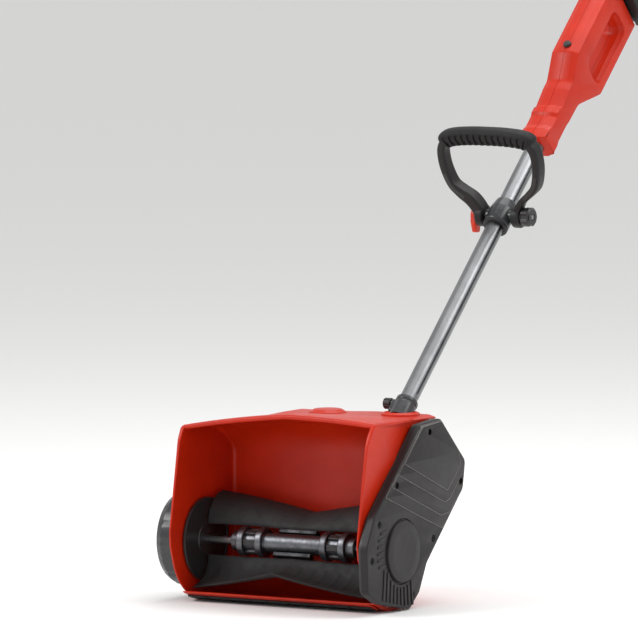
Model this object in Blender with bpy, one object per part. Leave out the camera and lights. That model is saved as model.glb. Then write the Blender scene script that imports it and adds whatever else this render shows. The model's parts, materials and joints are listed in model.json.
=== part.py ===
"""Cordless snow blower: a scoop with a belt-driven rotor, a slanting tube and two handles.

Frame: the origin is on the floor, straight below the rotor's axis at mid width. +X points to the belt
drive, +Y to the operator and +Z up. Lengths are metres.
"""
import math

import bmesh
import bpy
from mathutils import Matrix, Vector

# ---------------------------------------------------------------- driving dimensions
GAP = 0.0003                    # between pieces that touch
CLEARING_WIDTH = 0.300          # inside the scoop
SIDE_WALL = 0.006
AXIS_Z = 0.082                  # the rotor's axis above the floor
ROTOR_R = 0.075
SCOOP_R = 0.079                 # inside of the scoop's trough
TROUGH_SKIN = 0.003
WALL_STEP = 0.0004              # the side walls' edges end this far inside the trough's skin
WALL_BITE = 0.004               # how far the trough runs into the side walls
DECK_Z = 0.177                  # top of the scoop above the rotor's axis
DECK_SKIN = 0.005
DECK_CROWN = 0.007              # the deck's extra height at mid width
DECK_FRONT_Y = -0.050
DECK_REAR_Y = 0.118
DECK_DIP = 0.0025               # the deck's rear edge is this much lower, away from the tube
COVER_DIP = 0.0035              # and this much beside the belt cover
COVER_DIP_START = 0.1415
HOOD_FALL = 0.0163              # drop of the hood's front edge at the free end
HOOD_FALL_START = 0.010         # where that drop starts
REAR_FALL = 0.022               # drop of the deck's rear edge at the free end
REAR_FALL_START = -0.062
HOOD_R = 0.060                  # curve from the back of the scoop into the hood
HOOD_Y = 0.019                  # that curve's centre
HOOD_Z = 0.110

SHAFT_R = 0.006
BEARING_R = 0.016
BEARING_WIDTH = 0.009
HUB_R = 0.014
HUB_RING_R = 0.0205
PADDLE_ROOT_R = 0.0215
PADDLE_REST = math.radians(60)  # the first paddle's angle at rest, up from +Y
PADDLE_THICK = 0.005
END_DISC_R = 0.058

DRIVEN_PULLEY_R = 0.034
DRIVE_PULLEY_R = 0.0095
BELT_THICK = 0.003
MOTOR_Y = 0.112
MOTOR_Z = 0.100                 # above the rotor's axis
MOTOR_R = 0.027
IDLER_R = 0.009

COVER_FACE_X = 0.172
COVER_SKIN = 0.0025
COVER_PLATE = 0.0025
COVER_DISC_R = 0.043
COVER_SCREWS = [(0.069, 0.158), (-0.017, 0.092), (0.155, 0.083), (-0.062, 0.042), (-0.081, -0.006),
                (0.083, 0.010), (0.027, -0.062)]
END_CAP_R = 0.068
END_CAP_DEPTH = 0.035

TUBE_R = 0.0125
TUBE_WALL = 0.0013
TUBE_FOOT = Vector((0.114, 0.088, AXIS_Z + DECK_Z))
TUBE_RISE = math.radians(43.0)
TUBE_BELOW = 0.014              # the tube's stretch below the deck
TUBE_TOP = 0.560                # its end inside the rear handle
TUBE_PASSAGE_R = 0.0145         # bore through the deck and the rear cover
SOCKET_PAD_R = 0.027
SOCKET_PAD_H = 0.004
SOCKET_COLLAR_R = 0.0158
SOCKET_COLLAR_H = 0.026
SOCKET_KNOB_T = 0.0195         # the locking knob's place along the tube

BAIL_T = 0.375                  # the bail's pivot along the tube
BAIL_LEAN = math.radians(71.0)  # the bail's rise towards the front
BAIL_HALF_WIDTH = 0.0755        # to the middle of its arms
BAIL_GRIP_S = 0.120             # from the pivot to the middle of the grip
BAIL_GRIP_R = 0.0130
BAIL_ARM_THICK = 0.013
BAIL_ARM_DEPTH = 0.022
BAIL_EYE_R = 0.016
CLAMP_R = 0.0185
CLAMP_LENGTH = 0.046

HANDLE_FRONT = 0.508            # distances along the tube
HANDLE_REAR = 0.800
HANDLE_HALF_WIDTH = 0.0215
HANDLE_SKIN = 0.0025
HANDLE_SCREWS = [(0.046, 0.655), (0.046, 0.775), (-0.024, 0.785), (-0.0125, 0.590)]
FINGER_GAP = ((-0.004, 0.665), (0.037, 0.770))      # the loop's opening: (below the tube, along it)
TRIGGER_PIVOT = (-0.014, 0.680)
TRIGGER_SLOT = (0.676, 0.722)
LOCK_BUTTON_T = 0.668
BATTERY_LENGTH = 0.062
BATTERY_HALF_WIDTH = 0.037

HALF_WIDTH = CLEARING_WIDTH / 2
OUTER_X = HALF_WIDTH + SIDE_WALL
PLATE_X = OUTER_X + GAP                       # belt plate, inner face
COVER_X = PLATE_X + COVER_PLATE + GAP         # cover's open edge
COVER_INSIDE_X = COVER_FACE_X - COVER_SKIN
PULLEY_X = (COVER_X + 0.0012, COVER_INSIDE_X - 0.0012)
BELT_X = (PULLEY_X[0] + 0.0006, PULLEY_X[1] - 0.0006)
TAU = 2 * math.pi


# ---------------------------------------------------------------- materials
def plastic(name, rgb, roughness):
    """Principled material of a moulded plastic or rubber."""
    return finish(name, rgb, roughness, 0.0)


def metal(name, rgb, roughness):
    """Principled material of a bare metal."""
    return finish(name, rgb, roughness, 1.0)


def finish(name, rgb, roughness, metallic):
    """Principled material with one colour, roughness and metallic value."""
    material = bpy.data.materials.new(name)
    material.use_nodes = True
    shader = material.node_tree.nodes["Principled BSDF"]
    shader.inputs["Base Color"].default_value = (*rgb, 1.0)
    shader.inputs["Roughness"].default_value = roughness
    shader.inputs["Metallic"].default_value = metallic
    material.diffuse_color = (*rgb, 1.0)
    return material


# ---------------------------------------------------------------- outlines in a side view
def arc(centre, radius, start, end, steps):
    """Points of a circular arc; the angles are degrees from +Y towards +Z."""
    points = []
    for step in range(steps + 1):
        angle = math.radians(start + (end - start) * step / steps)
        points.append((centre[0] + radius * math.cos(angle), centre[1] + radius * math.sin(angle)))
    return points


def rounded(corners, steps=4):
    """Closed outline from corners (y, z, radius), each corner turned into an arc."""
    points = []
    count = len(corners)
    for index, (y, z, radius) in enumerate(corners):
        here = Vector((y, z))
        before = Vector(corners[index - 1][:2]) - here
        after = Vector(corners[(index + 1) % count][:2]) - here
        if radius == 0:
            points.append((y, z))
            continue
        half = before.angle(after) / 2
        reach = radius / math.tan(half)
        middle = here + (before.normalized() + after.normalized()).normalized() * radius / math.sin(half)
        first = here + before.normalized() * reach - middle
        turn = first.angle_signed(here + after.normalized() * reach - middle)
        for step in range(steps + 1):
            angle = -turn * step / steps
            spoke = Matrix.Rotation(angle, 2) @ first
            points.append(tuple(middle + spoke))
    return points


def at_axis(points):
    """The same outline moved from the rotor's axis to the floor's frame."""
    return [(y, z + AXIS_Z) for y, z in points]


def belt_line(radius_low, radius_high, steps):
    """Outline of a loop round both pulleys: two arcs joined by their common tangents."""
    span = math.hypot(MOTOR_Y, MOTOR_Z)
    slope = math.degrees(math.atan2(MOTOR_Z, MOTOR_Y))
    tilt = math.degrees(math.asin((radius_low - radius_high) / span))
    high = arc((MOTOR_Y, MOTOR_Z), radius_high, slope - 90 + tilt, slope + 90 - tilt, steps)
    low = arc((0, 0), radius_low, slope + 90 - tilt, slope + 270 + tilt, steps)
    return at_axis(high + low)


def cover_outline(inset=0.0):
    """The belt cover's slanted pill: round below, chamfered above, with a flat rear lower edge."""
    corners = [
        (0.048, 0.170, 0.012), (-0.075, 0.052, 0.030), (-0.096, 0.012, 0.030), (-0.092, -0.050, 0.012),
        (-0.060, -0.067, 0.010), (0.020, -0.0815, 0.010), (0.046, -0.060, 0.008), (0.066, -0.022, 0.010),
        (0.162, 0.070, 0.014), (0.170, 0.110, 0.012), (0.102, 0.174, 0.010),
    ]
    grown = []
    middle = Vector((0.035, 0.045))
    for y, z, radius in corners:
        spoke = Vector((y, z)) - middle
        moved = middle + spoke * (1 - inset / (0.75 * spoke.length))
        grown.append((moved.x, moved.y, radius))
    return at_axis(rounded(grown, 3))


def side_wall_outline(side):
    """The scoop's side: a leaning front edge, a round bottom and the deck on top."""
    top, low, reach = DECK_Z - WALL_STEP, -AXIS_Z + WALL_STEP, SCOOP_R + TROUGH_SKIN - WALL_STEP
    bottom = arc((0, 0), reach, 197, 262, 7) + [(-0.0110, low), (0.0218, low)]
    back = arc((0, 0), reach, -60, 0, 6) + [(reach, HOOD_Z)]
    if side > 0:
        front = [(DECK_FRONT_Y - 0.001, top), (-0.067, 0.160), (-0.0915, 0.016), (-0.0885, -0.002)]
        rear = [(0.104, 0.152), (0.104, top - COVER_DIP), (0.062, top - COVER_DIP), (0.050, top)]
        return at_axis(front + bottom + back + rear)
    front = [(DECK_FRONT_Y - 0.001, top - HOOD_FALL), (-0.061, 0.146), (-0.087, 0.016), (-0.085, -0.002)]
    rear = [(0.096, 0.130), (0.104, top - REAR_FALL - DECK_DIP), (0.074, top - REAR_FALL - DECK_DIP),
            (0.030, top - HOOD_FALL - DECK_DIP)]
    return at_axis(front + bottom + back + rear)


def clipped(value):
    """The value kept between 0 and 1."""
    return min(max(value, 0.0), 1.0)


def hood_fall(x, y, z):
    """Drop of the hood at a point: it grows evenly towards the free end, and starts later at the rear."""
    front = HOOD_FALL * clipped((HOOD_FALL_START - x) / (OUTER_X + HOOD_FALL_START))
    rear = REAR_FALL * clipped((REAR_FALL_START - x) / (OUTER_X + REAR_FALL_START))
    return (front + (rear - front) * clipped((y - 0.030) / 0.044)) * clipped((z - HOOD_Z) / 0.055)


def trough_outline(x):
    """The curved sheet between the side walls at x: lip, trough, back, hood and deck plate."""
    crown = DECK_CROWN * (1 - (x / OUTER_X) ** 2)
    dip = DECK_DIP * clipped((0.060 - x) / 0.060)
    dip += COVER_DIP * clipped((x - COVER_DIP_START) / (HALF_WIDTH + WALL_BITE - COVER_DIP_START))
    under_deck = DECK_Z - DECK_SKIN
    outside = [(DECK_FRONT_Y, DECK_Z + crown), (0.010, DECK_Z + crown * 0.8), (0.055, DECK_Z - dip * 0.6),
               (DECK_REAR_Y, DECK_Z - dip), (DECK_REAR_Y, under_deck), (0.074, under_deck),
               (0.031, under_deck)]
    back = arc((HOOD_Y, HOOD_Z), HOOD_R + TROUGH_SKIN, 78, 0, 6)
    under = arc((0, 0), SCOOP_R + TROUGH_SKIN, 0, -60, 6)
    sole = [(0.022, -AXIS_Z), (-0.0114, -AXIS_Z)]
    lip = arc((0, 0), SCOOP_R + TROUGH_SKIN, -98, -120, 3)
    trough = arc((0, 0), SCOOP_R, -120, 0, 12)
    hood = arc((HOOD_Y, HOOD_Z), HOOD_R, 0, 90, 7)
    brow = [(DECK_FRONT_Y + 0.004, HOOD_Z + HOOD_R + crown)]
    hood[-1] = (HOOD_Y, HOOD_Z + HOOD_R + crown * 0.4)
    outline = outside + back + under + sole + lip + trough + hood + brow
    return at_axis([(y, z - hood_fall(x, y, z)) for y, z in outline])


# ---------------------------------------------------------------- solids
def loft(sections):
    """Closed solid through outlines of equal length, each given as (x, [(y, z), ...])."""
    mesh = bmesh.new()
    rings = [[mesh.verts.new((x, y, z)) for y, z in outline] for x, outline in sections]
    for first, second in zip(rings, rings[1:]):
        for index in range(len(first)):
            follow = (index + 1) % len(first)
            mesh.faces.new((first[index], first[follow], second[follow], second[index]))
    mesh.faces.new(rings[0][::-1])
    mesh.faces.new(rings[-1])
    bmesh.ops.recalc_face_normals(mesh, faces=mesh.faces)
    return mesh


def prism(outline, low, high):
    """Outline in the (y, z) plane drawn out along x."""
    return loft([(low, outline), (high, outline)])


def ring_prism(outer, inner, low, high):
    """Closed band between two outlines of equal length, drawn out along x."""
    mesh = bmesh.new()
    rings = [[mesh.verts.new((x, y, z)) for y, z in line]
             for line, x in ((outer, low), (outer, high), (inner, high), (inner, low))]
    for index in range(4):
        first, second = rings[index], rings[(index + 1) % 4]
        for step in range(len(outer)):
            follow = (step + 1) % len(outer)
            mesh.faces.new((first[step], first[follow], second[follow], second[step]))
    bmesh.ops.recalc_face_normals(mesh, faces=mesh.faces)
    return mesh


def turned(profile, centre, segments=24):
    """Solid turned about an axis along x through centre (y, z); the profile is (x, radius) points.

    A profile that starts and ends on the axis gives a solid piece, any other one a ring.
    """
    mesh = bmesh.new()
    solid = profile[0][1] == 0
    rings = []
    for x, radius in profile:
        if radius == 0:
            rings.append([mesh.verts.new((x, centre[0], centre[1]))])
        else:
            rings.append([mesh.verts.new((x, centre[0] + radius * math.cos(TAU * step / segments),
                                          centre[1] + radius * math.sin(TAU * step / segments)))
                          for step in range(segments)])
    pairs = list(zip(rings, rings[1:])) + ([] if solid else [(rings[-1], rings[0])])
    for first, second in pairs:
        for step in range(segments):
            follow = (step + 1) % segments
            if len(first) == 1:
                mesh.faces.new((first[0], second[follow], second[step]))
            elif len(second) == 1:
                mesh.faces.new((first[step], first[follow], second[0]))
            else:
                mesh.faces.new((first[step], first[follow], second[follow], second[step]))
    bmesh.ops.recalc_face_normals(mesh, faces=mesh.faces)
    return mesh


def rod(x0, x1, radius, centre, segments=20):
    """Plain cylinder along x."""
    return turned([(x0, 0), (x0, radius), (x1, radius), (x1, 0)], centre, segments)


def washer(x0, x1, outer, inner, centre, segments=24):
    """Plain ring along x."""
    return turned([(x0, inner), (x0, outer), (x1, outer), (x1, inner)], centre, segments)


def block(low, high):
    """Box between two corners."""
    outline = [(low[1], low[2]), (high[1], low[2]), (high[1], high[2]), (low[1], high[2])]
    return prism(outline, low[0], high[0])


def upright(mesh, centre):
    """Turns a solid made along x round so that it runs along z, about a point (x, y, z)."""
    turn = Matrix.Translation(centre) @ Matrix.Rotation(-math.pi / 2, 4, "Y")
    bmesh.ops.transform(mesh, matrix=turn, verts=mesh.verts)
    return mesh


def combine(base, others, operation):
    """Boolean of a solid with others; every input is used up."""
    for other in others:
        pair = []
        for mesh in (base, other):
            data = bpy.data.meshes.new("scratch")
            mesh.to_mesh(data)
            mesh.free()
            item = bpy.data.objects.new("scratch", data)
            bpy.context.collection.objects.link(item)
            pair.append(item)
        modifier = pair[0].modifiers.new("Boolean", "BOOLEAN")
        modifier.object = pair[1]
        modifier.operation = operation
        bpy.context.view_layer.update()
        evaluated = pair[0].evaluated_get(bpy.context.evaluated_depsgraph_get())
        base = bmesh.new()
        base.from_mesh(evaluated.to_mesh())
        for item in pair:
            bpy.data.objects.remove(item)
    return base


def cut(base, *cutters):
    """The base with the cutters taken out of it."""
    return combine(base, cutters, "DIFFERENCE")


def join(base, *others):
    """One solid from several that overlap."""
    return combine(base, others, "UNION")


def piece(name, mesh, material, frame=None, pivot=(0, 0, 0)):
    """Named object from a finished solid, with its origin on the pivot."""
    bmesh.ops.remove_doubles(mesh, verts=mesh.verts, dist=1e-6)
    bmesh.ops.dissolve_degenerate(mesh, edges=mesh.edges, dist=1e-7)
    bmesh.ops.translate(mesh, verts=mesh.verts, vec=-Vector(pivot))
    data = bpy.data.meshes.new(name)
    mesh.to_mesh(data)
    mesh.free()
    data.shade_smooth()
    data.set_sharp_from_angle(angle=math.radians(35))
    data.materials.append(material)
    item = bpy.data.objects.new(name, data)
    bpy.context.collection.objects.link(item)
    item.location = pivot
    if frame is not None:
        item.parent = frame
    return item


def empty(name, location, rise=0.0, parent=None):
    """Empty that carries a sub-assembly; rise turns it about x."""
    item = bpy.data.objects.new(name, None)
    bpy.context.collection.objects.link(item)
    item.location = location
    item.rotation_euler = (rise, 0, 0)
    item.parent = parent
    return item


# ---------------------------------------------------------------- scoop and its covers
def build_scoop(paint):
    """Scoop: two side walls joined by the trough, the hood and the deck."""
    end = HALF_WIDTH + WALL_BITE
    columns = (-end, -0.123, -0.092, REAR_FALL_START, -0.030, HOOD_FALL_START, 0.060, 0.100,
               COVER_DIP_START, end)
    shell = loft([(x, trough_outline(x)) for x in columns])
    bmesh.ops.triangulate(shell, faces=shell.faces)
    walls = [prism(side_wall_outline(side), side * HALF_WIDTH, side * OUTER_X) for side in (-1, 1)]
    shell = join(shell, *walls)
    holes = [rod(side * (HALF_WIDTH - 0.01), side * (OUTER_X + 0.01), BEARING_R + GAP, (0, AXIS_Z), 24)
             for side in (-1, 1)]
    deck = AXIS_Z + DECK_Z
    hump = [(deck - 0.0045, 0), (deck - 0.0045, 0.026), (deck - 0.0005, 0.026), (deck + 0.0035, 0.019),
            (deck + 0.0035, 0)]
    shell = join(shell, upright(turned(hump, (0, 0), 28), Vector((0, 0.084, 0))))
    piece("scoop_housing", cut(shell, *holes, tube_passage(TUBE_PASSAGE_R)), paint)


def tube_passage(radius):
    """Cutter along the tube's axis through the deck, in the floor's frame."""
    mesh = level_rod(-0.016, 0.060, radius, 24)
    lean = Matrix.Translation(TUBE_FOOT) @ Matrix.Rotation(TUBE_RISE - math.pi / 2, 4, "X")
    bmesh.ops.transform(mesh, matrix=lean, verts=mesh.verts)
    return mesh


def build_scraper(rubber):
    """Scraper strip, bolted on a tangent under the trough's lip."""
    angle = math.radians(250)
    out = Vector((math.cos(angle), math.sin(angle)))
    along = Vector((-out.y, out.x)) * -1
    near, far = SCOOP_R + TROUGH_SKIN + 2 * GAP, SCOOP_R + TROUGH_SKIN + 0.0029
    corners = [out * near - along * 0.005, out * near + along * 0.030,
               out * far + along * 0.030, out * far - along * 0.005]
    outline = at_axis([tuple(corner) for corner in corners])
    piece("scraper_blade", prism(outline, -HALF_WIDTH + 0.001, HALF_WIDTH - 0.001), rubber)


def build_rear_cover(paint, black):
    """Rear cover over the motor with a keel down to the heel skid; both are open to the front."""
    front = SCOOP_R + TROUGH_SKIN + 2 * GAP
    top = DECK_Z - DECK_SKIN - GAP
    hood = [(front, top, 0), (front, 0.004, 0), (0.098, 0.012, 0.004), (0.154, 0.068, 0.012),
            (0.160, 0.112, 0.014), (0.118, top, 0.006)]
    keel = [(0.052, -0.030, 0), (0.052, -0.0775, 0), (0.196, -0.0775, 0.004), (0.196, -0.040, 0.012),
            (0.158, 0.115, 0.010), (0.100, 0.115, 0)]
    shell = join(prism(at_axis(rounded(hood)), -0.060, OUTER_X),
                 prism(at_axis(rounded(keel)), -0.055, 0.055))
    skin = COVER_SKIN
    hood_inside = [(front - 0.01, top - skin, 0), (front - 0.01, 0.007, 0), (0.097, 0.0155, 0.003),
                   (0.1515, 0.070, 0.010), (0.157, 0.111, 0.012), (0.117, top - skin, 0.004)]
    keel_inside = [(0.040, -0.030, 0), (0.040, -0.0750, 0), (0.1935, -0.0750, 0.003),
                   (0.1935, -0.040, 0.010), (0.1555, 0.112, 0.008), (0.100, 0.112, 0)]
    hollow = join(prism(at_axis(rounded(hood_inside)), -0.0575, OUTER_X + 0.01),
                  prism(at_axis(rounded(keel_inside)), -0.0525, 0.0525))
    clear = rod(-0.2, 0.2, front + GAP, (0, AXIS_Z), 48)
    back = block((-0.2, 0.0, AXIS_Z), (0.2, front, AXIS_Z + 0.2))
    wall_edge = [(0.0, 0.100), (0.0826, 0.109), (0.1048, 0.1515), (0.1048, 0.200), (0.0, 0.200)]
    wall_end = prism(at_axis(wall_edge), HALF_WIDTH - GAP, OUTER_X + 0.01)
    vent_z = [AXIS_Z + 0.060 + 0.012 * step for step in range(4)]
    vents = [block((-0.030, 0.120, z), (0.040, 0.220, z + 0.004)) for z in vent_z]
    shell = cut(shell, hollow, clear, back, wall_end, tube_passage(TUBE_PASSAGE_R), *vents)
    piece("rear_cover", shell, paint)

    low, high = 0.0, AXIS_Z - 0.0775 - GAP
    sole = [(0.050, low, 0), (0.196, low, 0.006), (0.207, 0.012, 0.003), (0.205, 0.014, 0),
            (0.197, high, 0.003), (0.050, high, 0)]
    piece("heel_skid", prism(rounded(sole), -0.058, 0.058), black)


def build_end_cap(black):
    """Round cap over the shaft's free end."""
    x0, x1 = -OUTER_X - GAP, -OUTER_X - END_CAP_DEPTH
    profile = [(x0, END_CAP_R), (x1 + 0.010, END_CAP_R), (x1 + 0.002, END_CAP_R - 0.006),
               (x1, END_CAP_R - 0.014), (x1, 0), (x1 + 0.003, 0), (x1 + 0.003, END_CAP_R - 0.015),
               (x1 + 0.012, END_CAP_R - 0.003), (x0, END_CAP_R - 0.003)]
    ring = turned_shell(profile, (0, AXIS_Z), 32)
    piece("end_cap", ring, black)


def turned_shell(profile, centre, segments):
    """Turned cup whose profile touches the axis twice."""
    touch = [index for index, point in enumerate(profile) if point[1] == 0]
    ordered = profile[touch[1]:] + profile[:touch[0] + 1]
    return turned(ordered, centre, segments)


def build_belt_case(black, steel):
    """Plate and cover that close round the belt, with the cover's screws."""
    plate = prism(cover_outline(), PLATE_X, PLATE_X + COVER_PLATE)
    axle = (0, AXIS_Z)
    motor = (MOTOR_Y, AXIS_Z + MOTOR_Z)
    plate = cut(plate, rod(PLATE_X - 0.01, PLATE_X + 0.01, BEARING_R + GAP, axle, 24),
                rod(PLATE_X - 0.01, PLATE_X + 0.01, 0.0065, motor, 20))
    for y, z in COVER_SCREWS:
        plate = cut(plate, rod(PLATE_X - 0.01, PLATE_X + 0.01, 0.0021, (y, z + AXIS_Z), 10))
    piece("belt_plate", plate, black)

    posts = [rod(COVER_X - 0.02, COVER_FACE_X, 0.0068, (y, z + AXIS_Z), 12) for y, z in COVER_SCREWS]
    room = cut(prism(cover_outline(COVER_SKIN), COVER_X - 0.01, COVER_INSIDE_X), *posts)
    cover = cut(prism(cover_outline(), COVER_X, COVER_FACE_X), room)
    disc = turned([(COVER_FACE_X - 0.001, 0), (COVER_FACE_X - 0.001, COVER_DISC_R),
                   (COVER_FACE_X + 0.0005, COVER_DISC_R), (COVER_FACE_X + 0.0015, COVER_DISC_R - 0.002),
                   (COVER_FACE_X + 0.0015, 0)], axle, 32)
    cover = join(cover, disc)
    head_x = COVER_FACE_X - 0.0030
    for y, z in COVER_SCREWS:
        hole = turned([(COVER_X - 0.01, 0), (COVER_X - 0.01, 0.0021), (head_x, 0.0021), (head_x, 0.0048),
                       (COVER_FACE_X + 0.01, 0.0048), (COVER_FACE_X + 0.01, 0)], (y, z + AXIS_Z), 10)
        cover = cut(cover, hole)
    piece("belt_cover", cover, black)
    for number, (y, z) in enumerate(COVER_SCREWS, 1):
        screw = turned([(PLATE_X, 0), (PLATE_X, 0.0018), (head_x + GAP, 0.0018), (head_x + GAP, 0.0042),
                        (COVER_FACE_X - 0.001, 0.0036), (COVER_FACE_X - 0.001, 0)], (y, z + AXIS_Z), 10)
        piece(f"cover_screw_{number}", screw, steel)


# ---------------------------------------------------------------- rotor
def paddle(turn):
    """One curved paddle: its angle runs back towards both ends, its face hooks forward at the tip."""
    columns, rows = 14, 5
    reach = HALF_WIDTH - 0.0075
    layers = []
    for side in (-0.5, 0.5):
        layer = []
        for column in range(columns + 1):
            x = -reach + 2 * reach * column / columns
            start = turn + math.radians(32) * abs(x) / reach
            line = []
            for row in range(rows + 1):
                share = row / rows
                radius = PADDLE_ROOT_R + (ROTOR_R - PADDLE_ROOT_R) * share
                angle = start - math.radians(34) * share ** 1.5 + side * PADDLE_THICK / radius
                line.append((x, radius * math.cos(angle), AXIS_Z + radius * math.sin(angle)))
            layer.append(line)
        layers.append(layer)
    mesh = bmesh.new()
    verts = [[[mesh.verts.new(point) for point in line] for line in layer] for layer in layers]
    for layer in verts:
        for column in range(columns):
            for row in range(rows):
                mesh.faces.new((layer[column][row], layer[column + 1][row],
                                layer[column + 1][row + 1], layer[column][row + 1]))
    border = [(column, 0) for column in range(columns)] + [(columns, row) for row in range(rows)]
    border += [(column, rows) for column in range(columns, 0, -1)]
    border += [(0, row) for row in range(rows, 0, -1)]
    for (c0, r0), (c1, r1) in zip(border, border[1:] + border[:1]):
        mesh.faces.new((verts[0][c0][r0], verts[0][c1][r1], verts[1][c1][r1], verts[1][c0][r0]))
    bmesh.ops.recalc_face_normals(mesh, faces=mesh.faces)
    return mesh


def build_rotor(black, rubber, steel):
    """Shaft, ringed hub, paddles with their brackets, end discs and the driven pulley."""
    axle = (0, AXIS_Z)
    pivot = (0, 0, AXIS_Z)
    piece("rotor_shaft", rod(-OUTER_X - 0.016, PULLEY_X[1], SHAFT_R, axle, 24), steel, None, pivot)
    profile = [(-0.098, SHAFT_R + GAP), (-0.098, HUB_R)]
    for side, order in ((-1, (0.0865, 0.076, 0.057, 0.0465)), (1, (0.0465, 0.057, 0.076, 0.0865))):
        for start, end in (order[:2], order[2:]):
            profile += [(side * start, HUB_R), (side * start, HUB_RING_R), (side * end, HUB_RING_R),
                        (side * end, HUB_R)]
    profile += [(0.098, HUB_R), (0.098, SHAFT_R + GAP)]
    piece("rotor_hub", turned(profile, axle, 20), steel, None, pivot)
    for name, turn in (("a", PADDLE_REST), ("b", PADDLE_REST + math.pi)):
        piece(f"paddle_{name}", paddle(turn), rubber, None, pivot)
        middle = turn + math.radians(0.5)
        radial = Vector((math.cos(middle), math.sin(middle)))
        across = Vector((-radial.y, radial.x))
        near, far = HUB_R + 2 * GAP, PADDLE_ROOT_R - 0.0008
        outline = [radial * near - across * 0.0055, radial * far - across * 0.0055,
                   radial * far + across * 0.0055, radial * near + across * 0.0055]
        base = prism(at_axis([tuple(corner) for corner in outline]), -0.030, 0.030)
        piece(f"paddle_bracket_{name}", base, steel, None, pivot)
    for name, side in (("left", -1), ("right", 1)):
        near, far = side * (HALF_WIDTH - 0.0065), side * (HALF_WIDTH - 0.0025)
        disc = washer(near, far, END_DISC_R, SHAFT_R + GAP, axle, 32)
        piece(f"end_disc_{name}", disc, black, None, pivot)
    piece("driven_pulley", washer(*PULLEY_X, DRIVEN_PULLEY_R, SHAFT_R + GAP, axle, 32), black, None, pivot)


def build_bearings(steel):
    """Ball bearings in both side walls, drawn as plain rings."""
    for name, side in (("left", -1), ("right", 1)):
        near = side * (HALF_WIDTH + 0.0001)
        far = near + side * (BEARING_WIDTH - 0.001)
        ring = washer(near, far, BEARING_R, SHAFT_R + GAP, (0, AXIS_Z), 24)
        piece(f"bearing_{name}", ring, steel)


# ---------------------------------------------------------------- drive
def build_drive(steel, black, rubber, copper, green):
    """Motor, pulleys, belt, idler and the control board."""
    motor = (MOTOR_Y, AXIS_Z + MOTOR_Z)
    pivot = (0, *motor)
    can_x = (0.084, 0.1532)
    can = [(can_x[0], MOTOR_R), (can_x[1], MOTOR_R), (can_x[1], 0.0055), (can_x[1] - 0.002, 0.0055),
           (can_x[1] - 0.002, MOTOR_R - 0.002), (can_x[0], MOTOR_R - 0.002)]
    piece("motor_can", turned(can, motor, 28), steel)
    bell = [(0.070, 0.012), (0.070, MOTOR_R - 0.004), (0.074, MOTOR_R), (can_x[0] - GAP, MOTOR_R),
            (can_x[0] - GAP, 0.0055), (0.079, 0.0055), (0.079, 0.012)]
    piece("motor_end_bell", turned(bell, motor, 28), black)
    piece("motor_flange", washer(can_x[1] + GAP, OUTER_X, MOTOR_R - 0.0005, 0.0060, motor, 24), steel)
    piece("armature", washer(0.092, 0.146, MOTOR_R - 0.0045, 0.0040 + GAP, motor, 24), copper, None, pivot)
    piece("motor_shaft", rod(0.074, PULLEY_X[1], 0.0040, motor, 16), steel, None, pivot)
    piece("drive_pulley", washer(*PULLEY_X, DRIVE_PULLEY_R, 0.0040 + GAP, motor, 20), steel, None, pivot)
    inner = belt_line(DRIVEN_PULLEY_R + GAP, DRIVE_PULLEY_R + GAP, 14)
    outer = belt_line(DRIVEN_PULLEY_R + GAP + BELT_THICK, DRIVE_PULLEY_R + GAP + BELT_THICK, 14)
    piece("drive_belt", ring_prism(outer, inner, *BELT_X), rubber)

    low, high = DRIVEN_PULLEY_R + BELT_THICK, DRIVE_PULLEY_R + BELT_THICK
    offset = (low + high) / 2 + IDLER_R + 0.0012
    slope = math.atan2(MOTOR_Z, MOTOR_Y)
    idler = (MOTOR_Y / 2 - math.sin(slope) * offset, AXIS_Z + MOTOR_Z / 2 + math.cos(slope) * offset)
    piece("idler_roller", washer(*BELT_X, IDLER_R, 0.0035, idler, 20), steel, None, (0, *idler))
    piece("idler_pin", rod(PLATE_X + COVER_PLATE + GAP, PULLEY_X[1], 0.0032, idler, 12), steel)

    board_z = AXIS_Z - 0.055
    piece("control_board", block((-0.036, 0.112, board_z), (0.036, 0.172, board_z + 0.0016)), green)
    fins = []
    for number in range(7):
        x = -0.024 + 0.0072 * number
        fins.append(block((x, 0.120, board_z + 0.004), (x + 0.002, 0.150, board_z + 0.020)))
    sink = join(block((-0.026, 0.120, board_z + 0.0019), (0.0232, 0.150, board_z + 0.0045)), *fins)
    piece("heat_sink", sink, steel)


# ---------------------------------------------------------------- tube and its socket
def along_tube(x, y, t):
    """World point from tube coordinates: x across, y below the tube, t along it from the deck."""
    lean = Matrix.Rotation(TUBE_RISE - math.pi / 2, 3, "X")
    return TUBE_FOOT + lean @ Vector((x, y, t))


def to_tube(mesh):
    """Moves a solid from the floor's frame to the tube's."""
    lean = Matrix.Translation(TUBE_FOOT) @ Matrix.Rotation(TUBE_RISE - math.pi / 2, 4, "X")
    bmesh.ops.transform(mesh, matrix=lean.inverted(), verts=mesh.verts)
    return mesh


def level_rod(z0, z1, radius, segments=20, centre=(0.0, 0.0)):
    """Cylinder along the z axis."""
    return upright(rod(z0, z1, radius, (0, 0), segments), Vector((centre[0], centre[1], 0)))


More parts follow.
